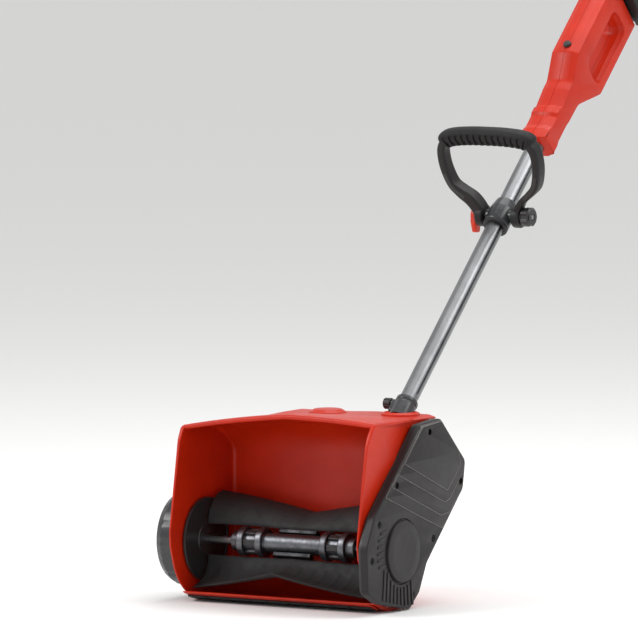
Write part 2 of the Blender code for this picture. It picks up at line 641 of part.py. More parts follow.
def build_tube(aluminium, black, cable_skin, pole):
    """Tube with its groove, the socket on the deck, the locking knob and the cable inside."""
    tube = cut(level_rod(-TUBE_BELOW, TUBE_TOP, TUBE_R, 32),
               level_rod(-TUBE_BELOW - 0.01, TUBE_TOP + 0.01, TUBE_R - TUBE_WALL, 24))
    piece("handle_tube", tube, aluminium, pole)

    deck = AXIS_Z + DECK_Z + GAP
    foot = (TUBE_FOOT.x, TUBE_FOOT.y)
    pad = to_tube(level_rod(deck, deck + SOCKET_PAD_H, SOCKET_PAD_R, 32, foot))
    collar = level_rod(-0.012, SOCKET_COLLAR_H, SOCKET_COLLAR_R, 28)
    lug = rod(-0.0215, -0.010, 0.0065, (0.0, SOCKET_KNOB_T), 16)
    below = to_tube(block((0.05, 0.0, deck - 0.08), (0.18, 0.18, deck)))
    socket = cut(join(collar, pad, lug), below, level_rod(-0.05, 0.10, TUBE_R + GAP, 32),
                 rod(-0.03, 0.0, 0.0032, (0.0, SOCKET_KNOB_T), 14))
    piece("tube_socket", socket, black, pole)

    knob = [(-0.0335, 0), (-0.0335, 0.0070), (-0.0325, 0.0080), (-0.0225, 0.0080), (-0.0220, 0.0070),
            (-0.0220, 0.0028), (-TUBE_R - 0.0008, 0.0028), (-TUBE_R - 0.0008, 0)]
    piece("socket_knob", turned(knob, (0.0, SOCKET_KNOB_T), 20), black, pole, (0, 0, SOCKET_KNOB_T))

    route = [along_tube(0, 0, TUBE_TOP + 0.035 - 0.084 * step) for step in range(8)]
    route += [Vector(point) for point in (
        (0.114, 0.0800, 0.2500), (0.106, 0.0860, 0.2360), (0.082, 0.0990, 0.2250), (0.060, 0.1120, 0.2000),
        (0.050, 0.1280, 0.1600), (0.044, 0.1400, 0.1100), (0.034, 0.1500, 0.0600), (0.026, 0.1580, 0.0318))]
    curve = bpy.data.curves.new("power_cable", "CURVE")
    curve.dimensions = "3D"
    curve.bevel_depth = 0.0024
    curve.bevel_resolution = 2
    curve.use_fill_caps = True
    points = smooth_route(route, 5)
    line = curve.splines.new("POLY")
    line.points.add(len(points) - 1)
    for slot, point in zip(line.points, points):
        slot.co = (*point, 1)
    curve.materials.append(cable_skin)
    cable = bpy.data.objects.new("power_cable", curve)
    bpy.context.collection.objects.link(cable)


def smooth_route(points, steps):
    """Catmull-Rom curve through the points."""
    padded = [2 * points[0] - points[1]] + points + [2 * points[-1] - points[-2]]
    result = []
    for index in range(len(points) - 1):
        a, b, c, d = padded[index:index + 4]
        for step in range(steps):
            s = step / steps
            result.append(0.5 * (2 * b + (c - a) * s + (2 * a - 5 * b + 4 * c - d) * s * s
                                 + (3 * b - a - 3 * c + d) * s ** 3))
    return result + [points[-1]]


# ---------------------------------------------------------------- bail handle
def bail_line():
    """The bail's middle line in its own plane: (x, s) from one eye over the grip to the other."""
    arm = [(0.0295, 0.0), (0.0295, 0.016), (0.0400, 0.0285), (0.0560, 0.0375), (0.0680, 0.050),
           (BAIL_HALF_WIDTH - 0.0015, 0.070), (BAIL_HALF_WIDTH, 0.090), (0.0730, 0.106),
           (0.0650, 0.1165), (0.0530, BAIL_GRIP_S)]
    return [(-x, s) for x, s in arm] + [(0.0, BAIL_GRIP_S)] + arm[::-1]


def build_bail(black, rubber, red, clamp, bail, lever):
    """Clamp on the tube, the bail with its grip, the cam lever and the hand knob."""
    sleeve = level_rod(-CLAMP_LENGTH / 2, CLAMP_LENGTH / 2, CLAMP_R, 24)
    trunnions = [washer(side * 0.0145, side * 0.0225, 0.0095, 0.0036, (0, 0), 16) for side in (-1, 1)]
    sleeve = cut(join(sleeve, *trunnions), level_rod(-0.1, 0.1, TUBE_R + GAP, 24))
    piece("clamp_sleeve", sleeve, black, clamp)

    eyes = [rod(side * 0.0230, side * 0.0360, BAIL_EYE_R, (0, 0), 20) for side in (-1, 1)]
    holes = [rod(side * 0.018, side * 0.045, 0.0036, (0, 0), 14) for side in (-1, 1)]
    loop = join(band_along(bail_line(), BAIL_ARM_THICK, BAIL_ARM_DEPTH), *eyes)
    piece("bail_handle", cut(loop, *holes), black, bail)

    section = band_section(BAIL_ARM_THICK + 2 * GAP, BAIL_ARM_DEPTH + 2 * GAP)
    core = [(y, z + BAIL_GRIP_S) for y, z in section]
    grip = cut(rod(-0.050, 0.050, BAIL_GRIP_R, (0, BAIL_GRIP_S), 24), prism(core, -0.06, 0.06))
    piece("bail_grip", grip, rubber, bail)

    blade = rounded([(-0.0085, 0.0085, 0.006), (0.0085, 0.0085, 0.006), (0.0085, -0.010, 0.004),
                     (0.0055, -0.025, 0.003), (-0.0030, -0.025, 0.003), (-0.0085, -0.010, 0.004)])
    arm = join(prism(blade, -0.0450, -0.0365), rod(-0.0370, -0.0190, 0.0032, (0, 0), 14))
    piece("cam_lever", arm, red, lever)
    knob = [(0.0190, 0), (0.0190, 0.0032), (0.0365, 0.0032), (0.0365, 0.0130), (0.0380, 0.0145),
            (0.0500, 0.0145), (0.0520, 0.0125), (0.0520, 0)]
    piece("clamp_knob", turned(knob, (0, 0), 24), black, clamp)


def band_section(thick, depth):
    """Chamfered rectangle, depth along y and thick along z."""
    chamfer = 0.3
    corners = ((1, 1 - chamfer), (1 - chamfer, 1), (chamfer - 1, 1), (-1, 1 - chamfer),
               (-1, chamfer - 1), (chamfer - 1, -1), (1 - chamfer, -1), (1, chamfer - 1))
    return [(d * depth / 2, w * thick / 2) for w, d in corners]


def band_along(line, thick, depth):
    """Flat band along a line (x, s) in the plane of x and z; depth runs along y."""
    mesh = bmesh.new()
    rings = []
    for index, (x, s) in enumerate(line):
        before = Vector(line[max(index - 1, 0)])
        after = Vector(line[min(index + 1, len(line) - 1)])
        along = (after - before).normalized()
        rings.append([mesh.verts.new((x - along.y * w, d, s + along.x * w))
                      for d, w in band_section(thick, depth)])
    for first, second in zip(rings, rings[1:]):
        for step in range(len(first)):
            follow = (step + 1) % len(first)
            mesh.faces.new((first[step], first[follow], second[follow], second[step]))
    mesh.faces.new(rings[0][::-1])
    mesh.faces.new(rings[-1])
    bmesh.ops.recalc_face_normals(mesh, faces=mesh.faces)
    return mesh


# ---------------------------------------------------------------- rear handle and battery
def handle_outline(inset=0.0):
    """Side view of the rear handle: a neck round the tube and a closed loop behind it."""
    neck, top, low = 0.0210 - inset, -0.0400 + inset, 0.0560 - inset
    front, rear = HANDLE_FRONT, HANDLE_REAR - inset
    if inset:
        front = TUBE_TOP + 0.006
    radius = max(0.010 - inset, 0.004)
    half = inset / 2
    return rounded([(-neck, front, 0.002), (-neck, 0.615 + half, 0.030), (top, 0.655 + half, radius),
                    (top, rear, radius), (low, rear, radius), (low, 0.660 + half, radius),
                    (neck, 0.605 + half, 0.030), (neck, front, 0.002)])


def finger_gap(grow=0.0):
    """Outline of the loop's opening, grown by the wall round it."""
    (y0, z0), (y1, z1) = FINGER_GAP
    y0, z0, y1, z1, radius = y0 - grow, z0 - grow, y1 + grow, z1 + grow, 0.012 + grow
    return rounded([(y0, z0, radius), (y1, z0, radius), (y1, z1, radius), (y0, z1, radius)])


def build_rear_handle(paint, black, steel, pole):
    """Two handle shells with the trigger, the lock-off button, the switch and their screws."""
    inner = HANDLE_HALF_WIDTH - HANDLE_SKIN
    for name, side in (("left", -1), ("right", 1)):
        near, far = side * GAP / 2, side * HANDLE_HALF_WIDTH
        shell = prism(handle_outline(), near, far)
        posts = [rod(-0.05, 0.05, 0.0048, centre, 10) for centre in HANDLE_SCREWS]
        room = cut(prism(handle_outline(HANDLE_SKIN), -side * 0.01, side * inner),
                   prism(finger_gap(HANDLE_SKIN), -0.05, 0.05), *posts)
        shell = cut(shell, room, prism(finger_gap(), -0.05, 0.05),
                    level_rod(HANDLE_FRONT - 0.02, TUBE_TOP + 0.0065, TUBE_R + GAP, 24),
                    block((-0.0082, -0.010, TRIGGER_SLOT[0]), (0.0082, 0.004, TRIGGER_SLOT[1])),
                    lock_bore(0.0063, -0.050, -0.030))
        for centre in HANDLE_SCREWS:
            shell = cut(shell, turned([(-0.05, 0), (-0.05, 0.0036), (-0.0185, 0.0036), (-0.0185, 0.0016),
                                       (0.0140, 0.0016), (0.0140, 0)], centre, 8))
        piece(f"handle_shell_{name}", shell, paint, pole)
    for number, centre in enumerate(HANDLE_SCREWS, 1):
        profile = [(-0.0212, 0), (-0.0212, 0.0026), (-0.0202, 0.0032), (-0.0188, 0.0032), (-0.0188, 0.0013),
                   (0.0130, 0.0013), (0.0130, 0)]
        piece(f"handle_screw_{number}", turned(profile, centre, 8), steel, pole)

    y, t = TRIGGER_PIVOT
    blade = rounded([(y - 0.005, t - 0.0005, 0.002), (y - 0.005, t + 0.036, 0.002),
                     (y + 0.008, t + 0.0395, 0.002), (0.008, t + 0.038, 0.004),
                     (0.0005, t + 0.018, 0.010), (-0.004, t - 0.0005, 0.001)], 3)
    piece("trigger", prism(blade, -0.0075, 0.0075), black, pole, (0, y, t))
    piece("switch", block((-0.0060, -0.0360, 0.694), (0.0060, -0.0275, 0.716)), black, pole)
    button = lock_bore(0.0058, -0.0440, -0.0330)
    flange = lock_bore(0.0080, -0.0335, -0.0315)
    piece("lock_button", join(button, flange), black, pole, (0, -0.040, LOCK_BUTTON_T))


def lock_bore(radius, low, high):
    """Cylinder across the tube's direction, from low to high below it, at the lock-off button."""
    mesh = rod(low, high, radius, (0, 0), 20)
    turn = Matrix.Translation((0, 0, LOCK_BUTTON_T)) @ Matrix.Rotation(math.pi / 2, 4, "Z")
    bmesh.ops.transform(mesh, matrix=turn, verts=mesh.verts)
    return mesh


def build_battery(black, grey, red, steel, pole):
    """Rail on the handle's rear face, and the sliding battery with its cells and latch."""
    base = HANDLE_REAR
    rail = join(block((-0.010, -0.038, base + GAP), (0.010, 0.052, base + 0.0045)),
                block((-0.018, -0.038, base + 0.0040), (0.018, 0.052, base + 0.0080)))
    piece("battery_rail", rail, black, pole)

    half, low, high, face, end = BATTERY_HALF_WIDTH, -0.048, 0.060, base + 0.0015, base + BATTERY_LENGTH
    shape = rounded([(low, face, 0.002), (low, end, 0.010), (high, end, 0.010), (high, face, 0.002)])
    case = prism(shape, -half, half)
    room = rounded([(low + 0.0025, base + 0.0120, 0.002), (low + 0.0025, end + 0.02, 0.002),
                    (high - 0.0025, end + 0.02, 0.002), (high - 0.0025, base + 0.0120, 0.002)])
    lid_t = end - 0.0040
    case = cut(case, prism(room, -half + 0.0025, half - 0.0025),
               block((-0.0106, -0.0386, base - 0.01), (0.0106, 0.08, base + 0.0050)),
               block((-0.0186, -0.0386, base + 0.0034), (0.0186, 0.08, base + 0.0086)),
               block((-0.05, -0.07, lid_t), (0.05, 0.08, end + 0.02)),
               block((-0.0105, high - 0.01, base + 0.0275), (0.0105, high + 0.01, base + 0.0405)))
    piece("battery_case", case, grey, pole)
    lid = [(low, lid_t + GAP, 0), (low, end, 0.0030), (high, end, 0.0030), (high, lid_t + GAP, 0)]
    piece("battery_lid", prism(rounded(lid), -half, half), grey, pole)
    places = [(x, base + 0.0225) for x in (-0.0195, 0.0, 0.0195)]
    places += [(x, base + 0.0415) for x in (-0.00975, 0.00975)]
    cells = []
    for x, t in places:
        cell = rod(-0.036, 0.029, 0.0090, (0, 0), 16)
        turn = Matrix.Translation((x, 0, t)) @ Matrix.Rotation(math.pi / 2, 4, "Z")
        bmesh.ops.transform(cell, matrix=turn, verts=cell.verts)
        cells.append(cell)
    strips = [block((-0.026, y - 0.0006, base + 0.0200), (0.026, y + 0.0006, base + 0.0440))
              for y in (-0.036, 0.029)]
    piece("battery_cells", join(strips[0], *cells, strips[1]), steel, pole)
    latch = join(block((-0.0100, high - 0.0050, base + 0.0280), (0.0100, high + 0.0030, base + 0.0400)),
                 block((-0.0130, high - 0.0055, base + 0.0260), (0.0130, high - 0.0030, base + 0.0420)))
    piece("battery_latch", latch, red, pole)


# ---------------------------------------------------------------- the whole object
def main():
    """Clears the scene and builds every piece."""
    for item in list(bpy.data.objects):
        bpy.data.objects.remove(item)
    red = plastic("Red ABS", (0.60, 0.075, 0.030), 0.38)
    black = plastic("Black nylon", (0.035, 0.034, 0.034), 0.45)
    grey = plastic("Charcoal ABS", (0.060, 0.058, 0.058), 0.40)
    rubber = plastic("Black rubber", (0.022, 0.022, 0.022), 0.75)
    green = plastic("Board laminate", (0.03, 0.16, 0.07), 0.5)
    steel = metal("Bright steel", (0.56, 0.57, 0.58), 0.32)
    aluminium = metal("Brushed aluminium", (0.48, 0.48, 0.49), 0.36)
    copper = metal("Copper winding", (0.75, 0.36, 0.20), 0.40)

    pole = empty("pole_frame", TUBE_FOOT, TUBE_RISE - math.pi / 2)
    clamp = empty("clamp_frame", (0, 0, BAIL_T), 0.0, pole)
    level = math.pi / 2 - TUBE_RISE
    bail = empty("bail_frame", (0, 0, BAIL_T), level + math.pi / 2 - BAIL_LEAN, pole)
    lever = empty("lever_frame", (0, 0, BAIL_T), level, pole)

    build_scoop(red)
    build_scraper(rubber)
    build_rear_cover(red, black)
    build_end_cap(black)
    build_belt_case(grey, steel)
    build_rotor(black, rubber, steel)
    build_bearings(steel)
    build_drive(steel, black, rubber, copper, green)
    build_tube(aluminium, black, rubber, pole)
    build_bail(black, rubber, red, clamp, bail, lever)
    build_rear_handle(red, black, steel, pole)
    build_battery(black, grey, red, steel, pole)


main()
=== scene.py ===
"""Cordless snow blower: its finished surfaces, built round the working model.

Row frame: the origin is on the floor under the rotor's axis at mid width. +X points to the belt
drive, +Y to the operator and +Z up. Lengths are metres unless a name ends in _mm.
"""
from __future__ import annotations

import functools
import json
import logging
import math
from dataclasses import dataclass
from enum import Enum
from typing import Callable, Sequence

import bmesh
import bpy
import numpy as np
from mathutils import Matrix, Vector
from mathutils.geometry import tessellate_polygon


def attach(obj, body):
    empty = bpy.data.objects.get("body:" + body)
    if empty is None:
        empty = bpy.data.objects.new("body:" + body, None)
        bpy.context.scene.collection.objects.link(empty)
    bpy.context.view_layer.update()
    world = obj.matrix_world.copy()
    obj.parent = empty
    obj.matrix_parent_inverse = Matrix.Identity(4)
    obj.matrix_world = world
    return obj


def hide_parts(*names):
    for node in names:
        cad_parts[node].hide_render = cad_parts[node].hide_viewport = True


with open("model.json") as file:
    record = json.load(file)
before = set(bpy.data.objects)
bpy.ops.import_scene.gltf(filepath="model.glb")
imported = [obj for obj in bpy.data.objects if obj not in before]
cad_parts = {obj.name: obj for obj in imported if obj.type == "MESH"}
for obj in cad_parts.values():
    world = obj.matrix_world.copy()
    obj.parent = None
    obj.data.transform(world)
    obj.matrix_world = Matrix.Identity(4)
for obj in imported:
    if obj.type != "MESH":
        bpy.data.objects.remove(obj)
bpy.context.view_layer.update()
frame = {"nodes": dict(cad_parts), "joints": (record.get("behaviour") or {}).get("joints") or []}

LOG = logging.getLogger("snow_blower")
MM = 0.001
TAU = 2 * math.pi
Array = np.ndarray
Warp = Callable[[Array], Array]


# ---------------------------------------------------------------- named choices
class Slot(Enum):
    """The record's material slots."""

    RED = "red_abs"
    CHARCOAL = "charcoal_abs"
    NYLON = "black_nylon"
    RUBBER = "black_rubber"
    LEVER = "red_lever"
    STEEL = "bright_steel"
    TUBE = "tube_aluminium"
    COPPER = "copper_winding"
    BOARD = "board_laminate"
    CELLS = "cell_sleeve"


class Body(Enum):
    """The bodies that pieces ride on."""

    ROOT = "root"
    ROTOR = "rotor"
    SOCKET_KNOB = "socket_knob"
    CLAMP = "clamp"
    BAIL = "bail"
    CAM_LEVER = "cam_lever"
    CLAMP_KNOB = "clamp_knob"
    TRIGGER = "trigger"
    LOCK_BUTTON = "lock_button"
    BATTERY = "battery"
    BATTERY_LATCH = "battery_latch"


# ---------------------------------------------------------------- places taken from the working model
def joint(name: str) -> dict:
    """Returns the record's joint of that name."""
    return next(item for item in frame["joints"] if item["name"] == name)


@dataclass(frozen=True)
class Bench:
    """Local axes of a sub-assembly.

    Args:
        axes: its own x, y and z directions in the row frame, one a row.
        origin: its own zero point in the row frame.
    """

    axes: tuple
    origin: tuple

    def place(self, points: Array) -> Array:
        """Returns local points in the row frame: p = origin + x*X + y*Y + z*Z."""
        return points @ np.array(self.axes) + np.array(self.origin)

    def moved(self, x: float, y: float, z: float) -> Bench:
        """Returns the same axes with their zero at the local point (x, y, z)."""
        return Bench(self.axes, tuple(self.place(np.array([x, y, z]))))

    def spun(self, angle: float) -> Bench:
        """Returns the bench turned about its own x axis by an angle in radians."""
        across, up = np.array(self.axes[1]), np.array(self.axes[2])
        y = tuple(across * math.cos(angle) + up * math.sin(angle))
        z = tuple(up * math.cos(angle) - across * math.sin(angle))
        return Bench((self.axes[0], y, z), self.origin)

    def lathed(self) -> Bench:
        """Returns the bench with its z axis first, so that a lathe turns about it."""
        return Bench((self.axes[2], self.axes[0], self.axes[1]), self.origin)


LEVEL = ((1.0, 0.0, 0.0), (0.0, 1.0, 0.0), (0.0, 0.0, 1.0))
UPRIGHT = ((0.0, 0.0, 1.0), (0.0, 1.0, 0.0), (1.0, 0.0, 0.0))
AXLE_Z = joint("rotor_spin")["pos_m"][2]
AXLE = Bench(LEVEL, (0.0, 0.0, AXLE_Z))
RISE = joint("clamp_slide")["axis"]
PIVOT = tuple(joint("bail_tilt")["pos_m"])
BAIL_T = 0.375
TUBE = Bench(((1.0, 0.0, 0.0), (0.0, RISE[2], -RISE[1]), tuple(RISE)),
             tuple(np.array(PIVOT) - BAIL_T * np.array(RISE)))
BAIL_LEAN = math.radians(71.0)
BAIL = Bench(((1.0, 0.0, 0.0), (0.0, math.sin(BAIL_LEAN), math.cos(BAIL_LEAN)),
              (0.0, -math.cos(BAIL_LEAN), math.sin(BAIL_LEAN))), PIVOT)
HANGER = Bench(LEVEL, PIVOT)


# ---------------------------------------------------------------- lines in a plane
def arc(centre: Sequence[float], radius: float, start: float, end: float, steps: int = 24) -> Array:
    """Points of a circular arc: centre + radius * (cos a, sin a), a running evenly in degrees.

    Args:
        centre: its middle (a, b).
        radius: its radius.
        start: first angle.
        end: last angle.
        steps: number of stretches.

    Returns:
        Array of steps + 1 points (a, b).
    """
    angle = np.radians(np.linspace(start, end, steps + 1))
    return np.array(centre) + radius * np.stack([np.cos(angle), np.sin(angle)], axis=1)


def rounded(corners: Sequence[Sequence[float]], steps: int = 8, closed: bool = True) -> Array:
    """Line through corners whose points are turned into arcs tangent to both sides.

    Args:
        corners: rows (a, b, radius).
        steps: stretches in each arc.
        closed: whether the last corner joins the first.

    Returns:
        Array of points (a, b).
    """
    spots = np.array([corner[:2] for corner in corners], float)
    result = []
    for index, corner in enumerate(corners):
        radius = corner[2]
        open_end = not closed and index in (0, len(corners) - 1)
        if radius == 0 or open_end:
            result.append(spots[index:index + 1])
            continue
        back = spots[index - 1] - spots[index]
        ahead = spots[(index + 1) % len(spots)] - spots[index]
        back, ahead = back / np.linalg.norm(back), ahead / np.linalg.norm(ahead)
        half = 0.5 * math.acos(float(np.clip(back @ ahead, -1, 1)))
        if half > math.radians(89):
            result.append(spots[index:index + 1])
            continue
        bisector = (back + ahead) / np.linalg.norm(back + ahead)
        middle = spots[index] + bisector * radius / math.sin(half)
        spoke = spots[index] + back * radius / math.tan(half) - middle
        other = spots[index] + ahead * radius / math.tan(half) - middle
        sweep = math.atan2(spoke[0] * other[1] - spoke[1] * other[0], spoke @ other)
        angle = np.linspace(0, sweep, steps + 1)
        turned = np.stack([spoke[0] * np.cos(angle) - spoke[1] * np.sin(angle),
                           spoke[0] * np.sin(angle) + spoke[1] * np.cos(angle)], axis=1)
        result.append(middle + turned)
    return np.concatenate(result)


def box(low: Sequence[float], high: Sequence[float], rounds: float | Sequence[float],
        steps: int = 8) -> Array:
    """Rectangle between two opposite corners (a, b), with its corners rounded.

    Args:
        low: the corner where the line starts.
        high: the opposite corner.
        rounds: one rounding for all, or one for each corner from low round by (high a, low b).
        steps: stretches in each rounding.

    Returns:
        Array of points (a, b).
    """
    spots = ((low[0], low[1]), (high[0], low[1]), (high[0], high[1]), (low[0], high[1]))
    return rounded([(*spot, radius) for spot, radius in zip(spots, np.broadcast_to(rounds, 4))], steps)


def inset(outline: Array, distance: float) -> Array:
    """Closed outline moved inwards: each point goes along its two sides' shared mitre.

    Args:
        outline: points (a, b) of a closed line, either way round.
        distance: how far inwards; a negative one grows the outline.

    Returns:
        Array of the same number of points.
    """
    ahead = np.roll(outline, -1, axis=0) - outline
    length = np.linalg.norm(ahead, axis=1, keepdims=True)
    ahead = ahead / np.maximum(length, 1e-9)
    (a, b), (next_a, next_b) = outline.T, np.roll(outline, -1, axis=0).T
    area = np.sum(a * next_b - b * next_a)
    normal = np.stack([-ahead[:, 1], ahead[:, 0]], axis=1) * (1 if area > 0 else -1)
    before = np.roll(normal, 1, axis=0)
    spread = np.maximum(1 + np.sum(normal * before, axis=1, keepdims=True), 0.35)
    return outline + distance * (normal + before) / spread


def smooth_line(points: Sequence[Sequence[float]], steps: int) -> Array:
    """Catmull-Rom curve through points, each stretch cut into steps.

    Args:
        points: rows of coordinates, two or three each.
        steps: points on each stretch.

    Returns:
        Array of points on the curve.
    """
    spots = np.array(points, float)
    padded = np.concatenate([[2 * spots[0] - spots[1]], spots, [2 * spots[-1] - spots[-2]]])
    a, b, c, d = (padded[k:len(padded) - 3 + k, None] for k in range(4))
    s = (np.arange(steps) / steps)[None, :, None]
    curve = 0.5 * (2 * b + (c - a) * s + (2 * a - 5 * b + 4 * c - d) * s ** 2
                   + (3 * b - a - 3 * c + d) * s ** 3)
    return np.concatenate([curve.reshape(-1, spots.shape[1]), spots[-1:]])


def rim(low: float, high: float, low_round: float = 0.0, high_round: float = 0.0, steps: int = 4,
        reach: float = 1.0) -> Array:
    """Heights and insets of a slab whose two edges are rounded.

    A quarter ellipse: height = end -+ r * (1 - sin a), inset = reach * r * (1 - cos a).

    Args:
        low: first height.
        high: last height.
        low_round: rounding of the first edge.
        high_round: rounding of the last edge.
        steps: stretches in each rounding.
        reach: how far the rounding reaches inwards, as a share of its height.

    Returns:
        Array of rows (height, inset).
    """
    sign = 1.0 if high > low else -1.0
    rows = []
    for end, radius, way in ((low, low_round, 1), (high, high_round, -1)):
        angle = np.radians(np.linspace(90, 0, steps + 1)) if radius else np.zeros(1)
        height = end + sign * way * radius * (1 - np.sin(angle)) if radius else np.array([end])
        part = np.stack([height, reach * radius * (1 - np.cos(angle))], axis=1)
        rows.append(part if way > 0 else part[::-1])
    return np.concatenate(rows)


def smoothstep(value: Array) -> Array:
    """0 below 0, 1 above 1 and 3v^2 - 2v^3 between."""
    share = np.clip(value, 0, 1)
    return share * share * (3 - 2 * share)


# ---------------------------------------------------------------- closed surfaces
class Skin:
    """Closed surfaces of one piece, gathered as whole arrays and turned into one mesh object."""

    def __init__(self, bench: Bench = AXLE) -> None:
        """Starts empty on a bench."""
        self.bench = bench
        self.points: list[Array] = []
        self.faces: list = []
        self.size = 0

    def on(self, bench: Bench) -> Skin:
        """Moves what is added next to another bench."""
        self.bench = bench
        return self

    def add(self, points: Array) -> Array:
        """Adds points.

        Args:
            points: local points, shape (..., 3).

        Returns:
            Array of their numbers, shape (...).
        """
        flat = self.bench.place(points.reshape(-1, 3))
        numbers = np.arange(self.size, self.size + len(flat))
        self.points.append(flat)
        self.size += len(flat)
        return numbers.reshape(points.shape[:-1])

    def grid(self, points: Array, loop: bool = True, ring: bool = False,
             skip: Array | None = None) -> Array:
        """Quads between neighbouring points of a grid.

        Args:
            points: shape (rows, columns, 3).
            loop: joins the last column to the first.
            ring: joins the last row to the first.
            skip: true for each quad, shape (rows - 1, columns - 1), that is left open.

        Returns:
            Array of point numbers, shape (rows, columns).
        """
        numbers = self.add(points)
        tile = np.concatenate([numbers, numbers[:, :1]], axis=1) if loop else numbers
        tile = np.concatenate([tile, tile[:1]], axis=0) if ring else tile
        quads = np.stack([tile[:-1, :-1], tile[1:, :-1], tile[1:, 1:], tile[:-1, 1:]], axis=-1)
        keep = quads.reshape(-1, 4) if skip is None else quads[~skip]
        self.faces += keep.tolist()
        return numbers

    def lid(self, *loops: Array) -> None:
        """Fills the flat area inside the first loop and outside the others.

        Args:
            loops: point numbers of each closed line, the outer one first.
        """
        where = np.concatenate(self.points)
        order = np.concatenate(loops)
        lines = [[Vector(spot) for spot in where[numbers]] for numbers in loops]
        self.faces += [[int(order[corner]) for corner in face] for face in tessellate_polygon(lines)]

    def slab(self, outline: Array, levels: Array, holes: Sequence[Array] = (),
             warp: Warp | None = None, rings: int = 0) -> None:
        """Outline in the (y, z) plane drawn out along x, with its edges shaped by levels.

        Each level is the outline moved inwards by its inset, at its height; holes move the other way.

        Args:
            outline: closed line (y, z).
            levels: rows (height, inset).
            holes: closed lines (y, z) cut right through.
            warp: moves local points, shape (..., 3), after the slab is drawn.
            rings: when more than 0, the last face is a fan of so many rings about its middle.
        """
        ends = []
        for line, way in [(outline, 1.0)] + [(hole, -1.0) for hole in holes]:
            rows = [np.column_stack([np.full(len(line), height), inset(line, way * depth)])
                    for height, depth in levels]
            points = np.stack(rows)
            numbers = self.grid(warp(points) if warp else points)
            ends.append((numbers[0], numbers[-1], points[-1]))
        self.lid(*[first for first, _, _ in ends])
        if not rings:
            self.lid(*[last for _, last, _ in ends])
            return
        edge = ends[0][2]
        share = np.linspace(1, 0, rings + 1)[:, None, None]
        fan = edge.mean(axis=0) + (edge - edge.mean(axis=0)) * share
        self.grid(warp(fan) if warp else fan)

    def lathe(self, profile: Array, segments: int = 64, centre: Sequence[float] = (0.0, 0.0),
              ripple: Callable[[Array, Array], Array] | None = None, ring: bool = False) -> None:
        """Profile turned about the local x axis: (x, cy + r cos a, cz + r sin a).

        Args:
            profile: rows (x, radius); it starts and ends on the axis, or is a closed ring.
            segments: stretches round the axis.
            centre: where the axis crosses the (y, z) plane.
            ripple: radius lost at (x, angle), for lobes, knurls and ribs.
            ring: whether the profile closes on itself.
        """
        angle = np.linspace(0, TAU, segments, endpoint=False)[None, :]
        x = np.repeat(profile[:, :1], segments, axis=1)
        radius = np.repeat(profile[:, 1:2], segments, axis=1)
        if ripple is not None:
            radius = np.where(radius > 1e-6, np.maximum(radius - ripple(x, angle), 0), radius)
        y = centre[0] + radius * np.cos(angle)
        z = centre[1] + radius * np.sin(angle)
        self.grid(np.stack([x, y, z], axis=-1), ring=ring)

    def turn(self, corners: Sequence, steps: int, segments: int, centre: Sequence[float] = (0.0, 0.0),
             ripple: Callable[[Array, Array], Array] | None = None, ring: bool = False) -> None:
        """Lathe whose profile is a line of corners (x, radius, rounding).

        Args:
            corners: the profile's corners.
            steps: stretches in each rounding.
            segments: stretches round the axis.
            centre: where the axis crosses the (y, z) plane.
            ripple: radius lost at (x, angle).
            ring: whether the profile closes on itself.
        """
        self.lathe(rounded(corners, steps, closed=False), segments, centre, ripple, ring)

    def sweep(self, path: Array, sections: Array) -> None:
        """Sections carried along a path in the local (x, z) plane; a section's first number is depth.

        p = path + depth * y + width * side, with side a quarter turn from the path's direction.

        Args:
            path: rows (x, z).
            sections: shape (rows, points, 2), each row (depth, width), or one section for all rows.
        """
        along = np.gradient(path, axis=0)
        along /= np.linalg.norm(along, axis=1, keepdims=True)
        shape = np.broadcast_to(sections, (len(path),) + sections.shape[-2:])
        x = path[:, None, 0] - along[:, None, 1] * shape[..., 1]
        z = path[:, None, 1] + along[:, None, 0] * shape[..., 1]
        numbers = self.grid(np.stack([x, shape[..., 0], z], axis=-1))
        self.lid(numbers[0])
        self.lid(numbers[-1])

    def build(self, name: str, finish: Finish, body: Body, nodes: Sequence[str] = (),
              crisp: float = 34.0) -> bpy.types.Object:
        """Makes the mesh object, closes its seams and hangs it on its body.

        Args:
            name: the piece's name.
            finish: what its surface is.
            body: what it moves with.
            nodes: working-model nodes that it stands for.
            crisp: edges sharper than this many degrees stay sharp.

        Returns:
            The new object.
        """
        mesh = bpy.data.meshes.new(name)
        mesh.from_pydata(np.concatenate(self.points).tolist(), [], self.faces)
        work = bmesh.new()
        work.from_mesh(mesh)
        bmesh.ops.remove_doubles(work, verts=work.verts, dist=2e-6)
        bmesh.ops.dissolve_degenerate(work, edges=work.edges, dist=1e-7)
        bmesh.ops.recalc_face_normals(work, faces=work.faces)
        work.to_mesh(mesh)
        work.free()
        mesh.shade_smooth()
        mesh.set_sharp_from_angle(angle=math.radians(crisp))
        mesh.materials.append(dress(finish))
        item = bpy.data.objects.new(name, mesh)
        bpy.context.scene.collection.objects.link(item)
        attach(item, body.value)
        if nodes:
            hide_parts(*nodes)
        LOG.info("built %s on %s, %d faces", name, body.value, len(mesh.polygons))
        return item


# ---------------------------------------------------------------- finishes
def linear(code: str) -> tuple[float, float, float, float]:
    """Turns an sRGB hex colour, such as "#C42707", into linear red, green, blue and full alpha."""
    parts = [int(code[k:k + 2], 16) / 255 for k in (1, 3, 5)]
    return (*[p / 12.92 if p <= 0.04045 else ((p + 0.055) / 1.055) ** 2.4 for p in parts], 1.0)


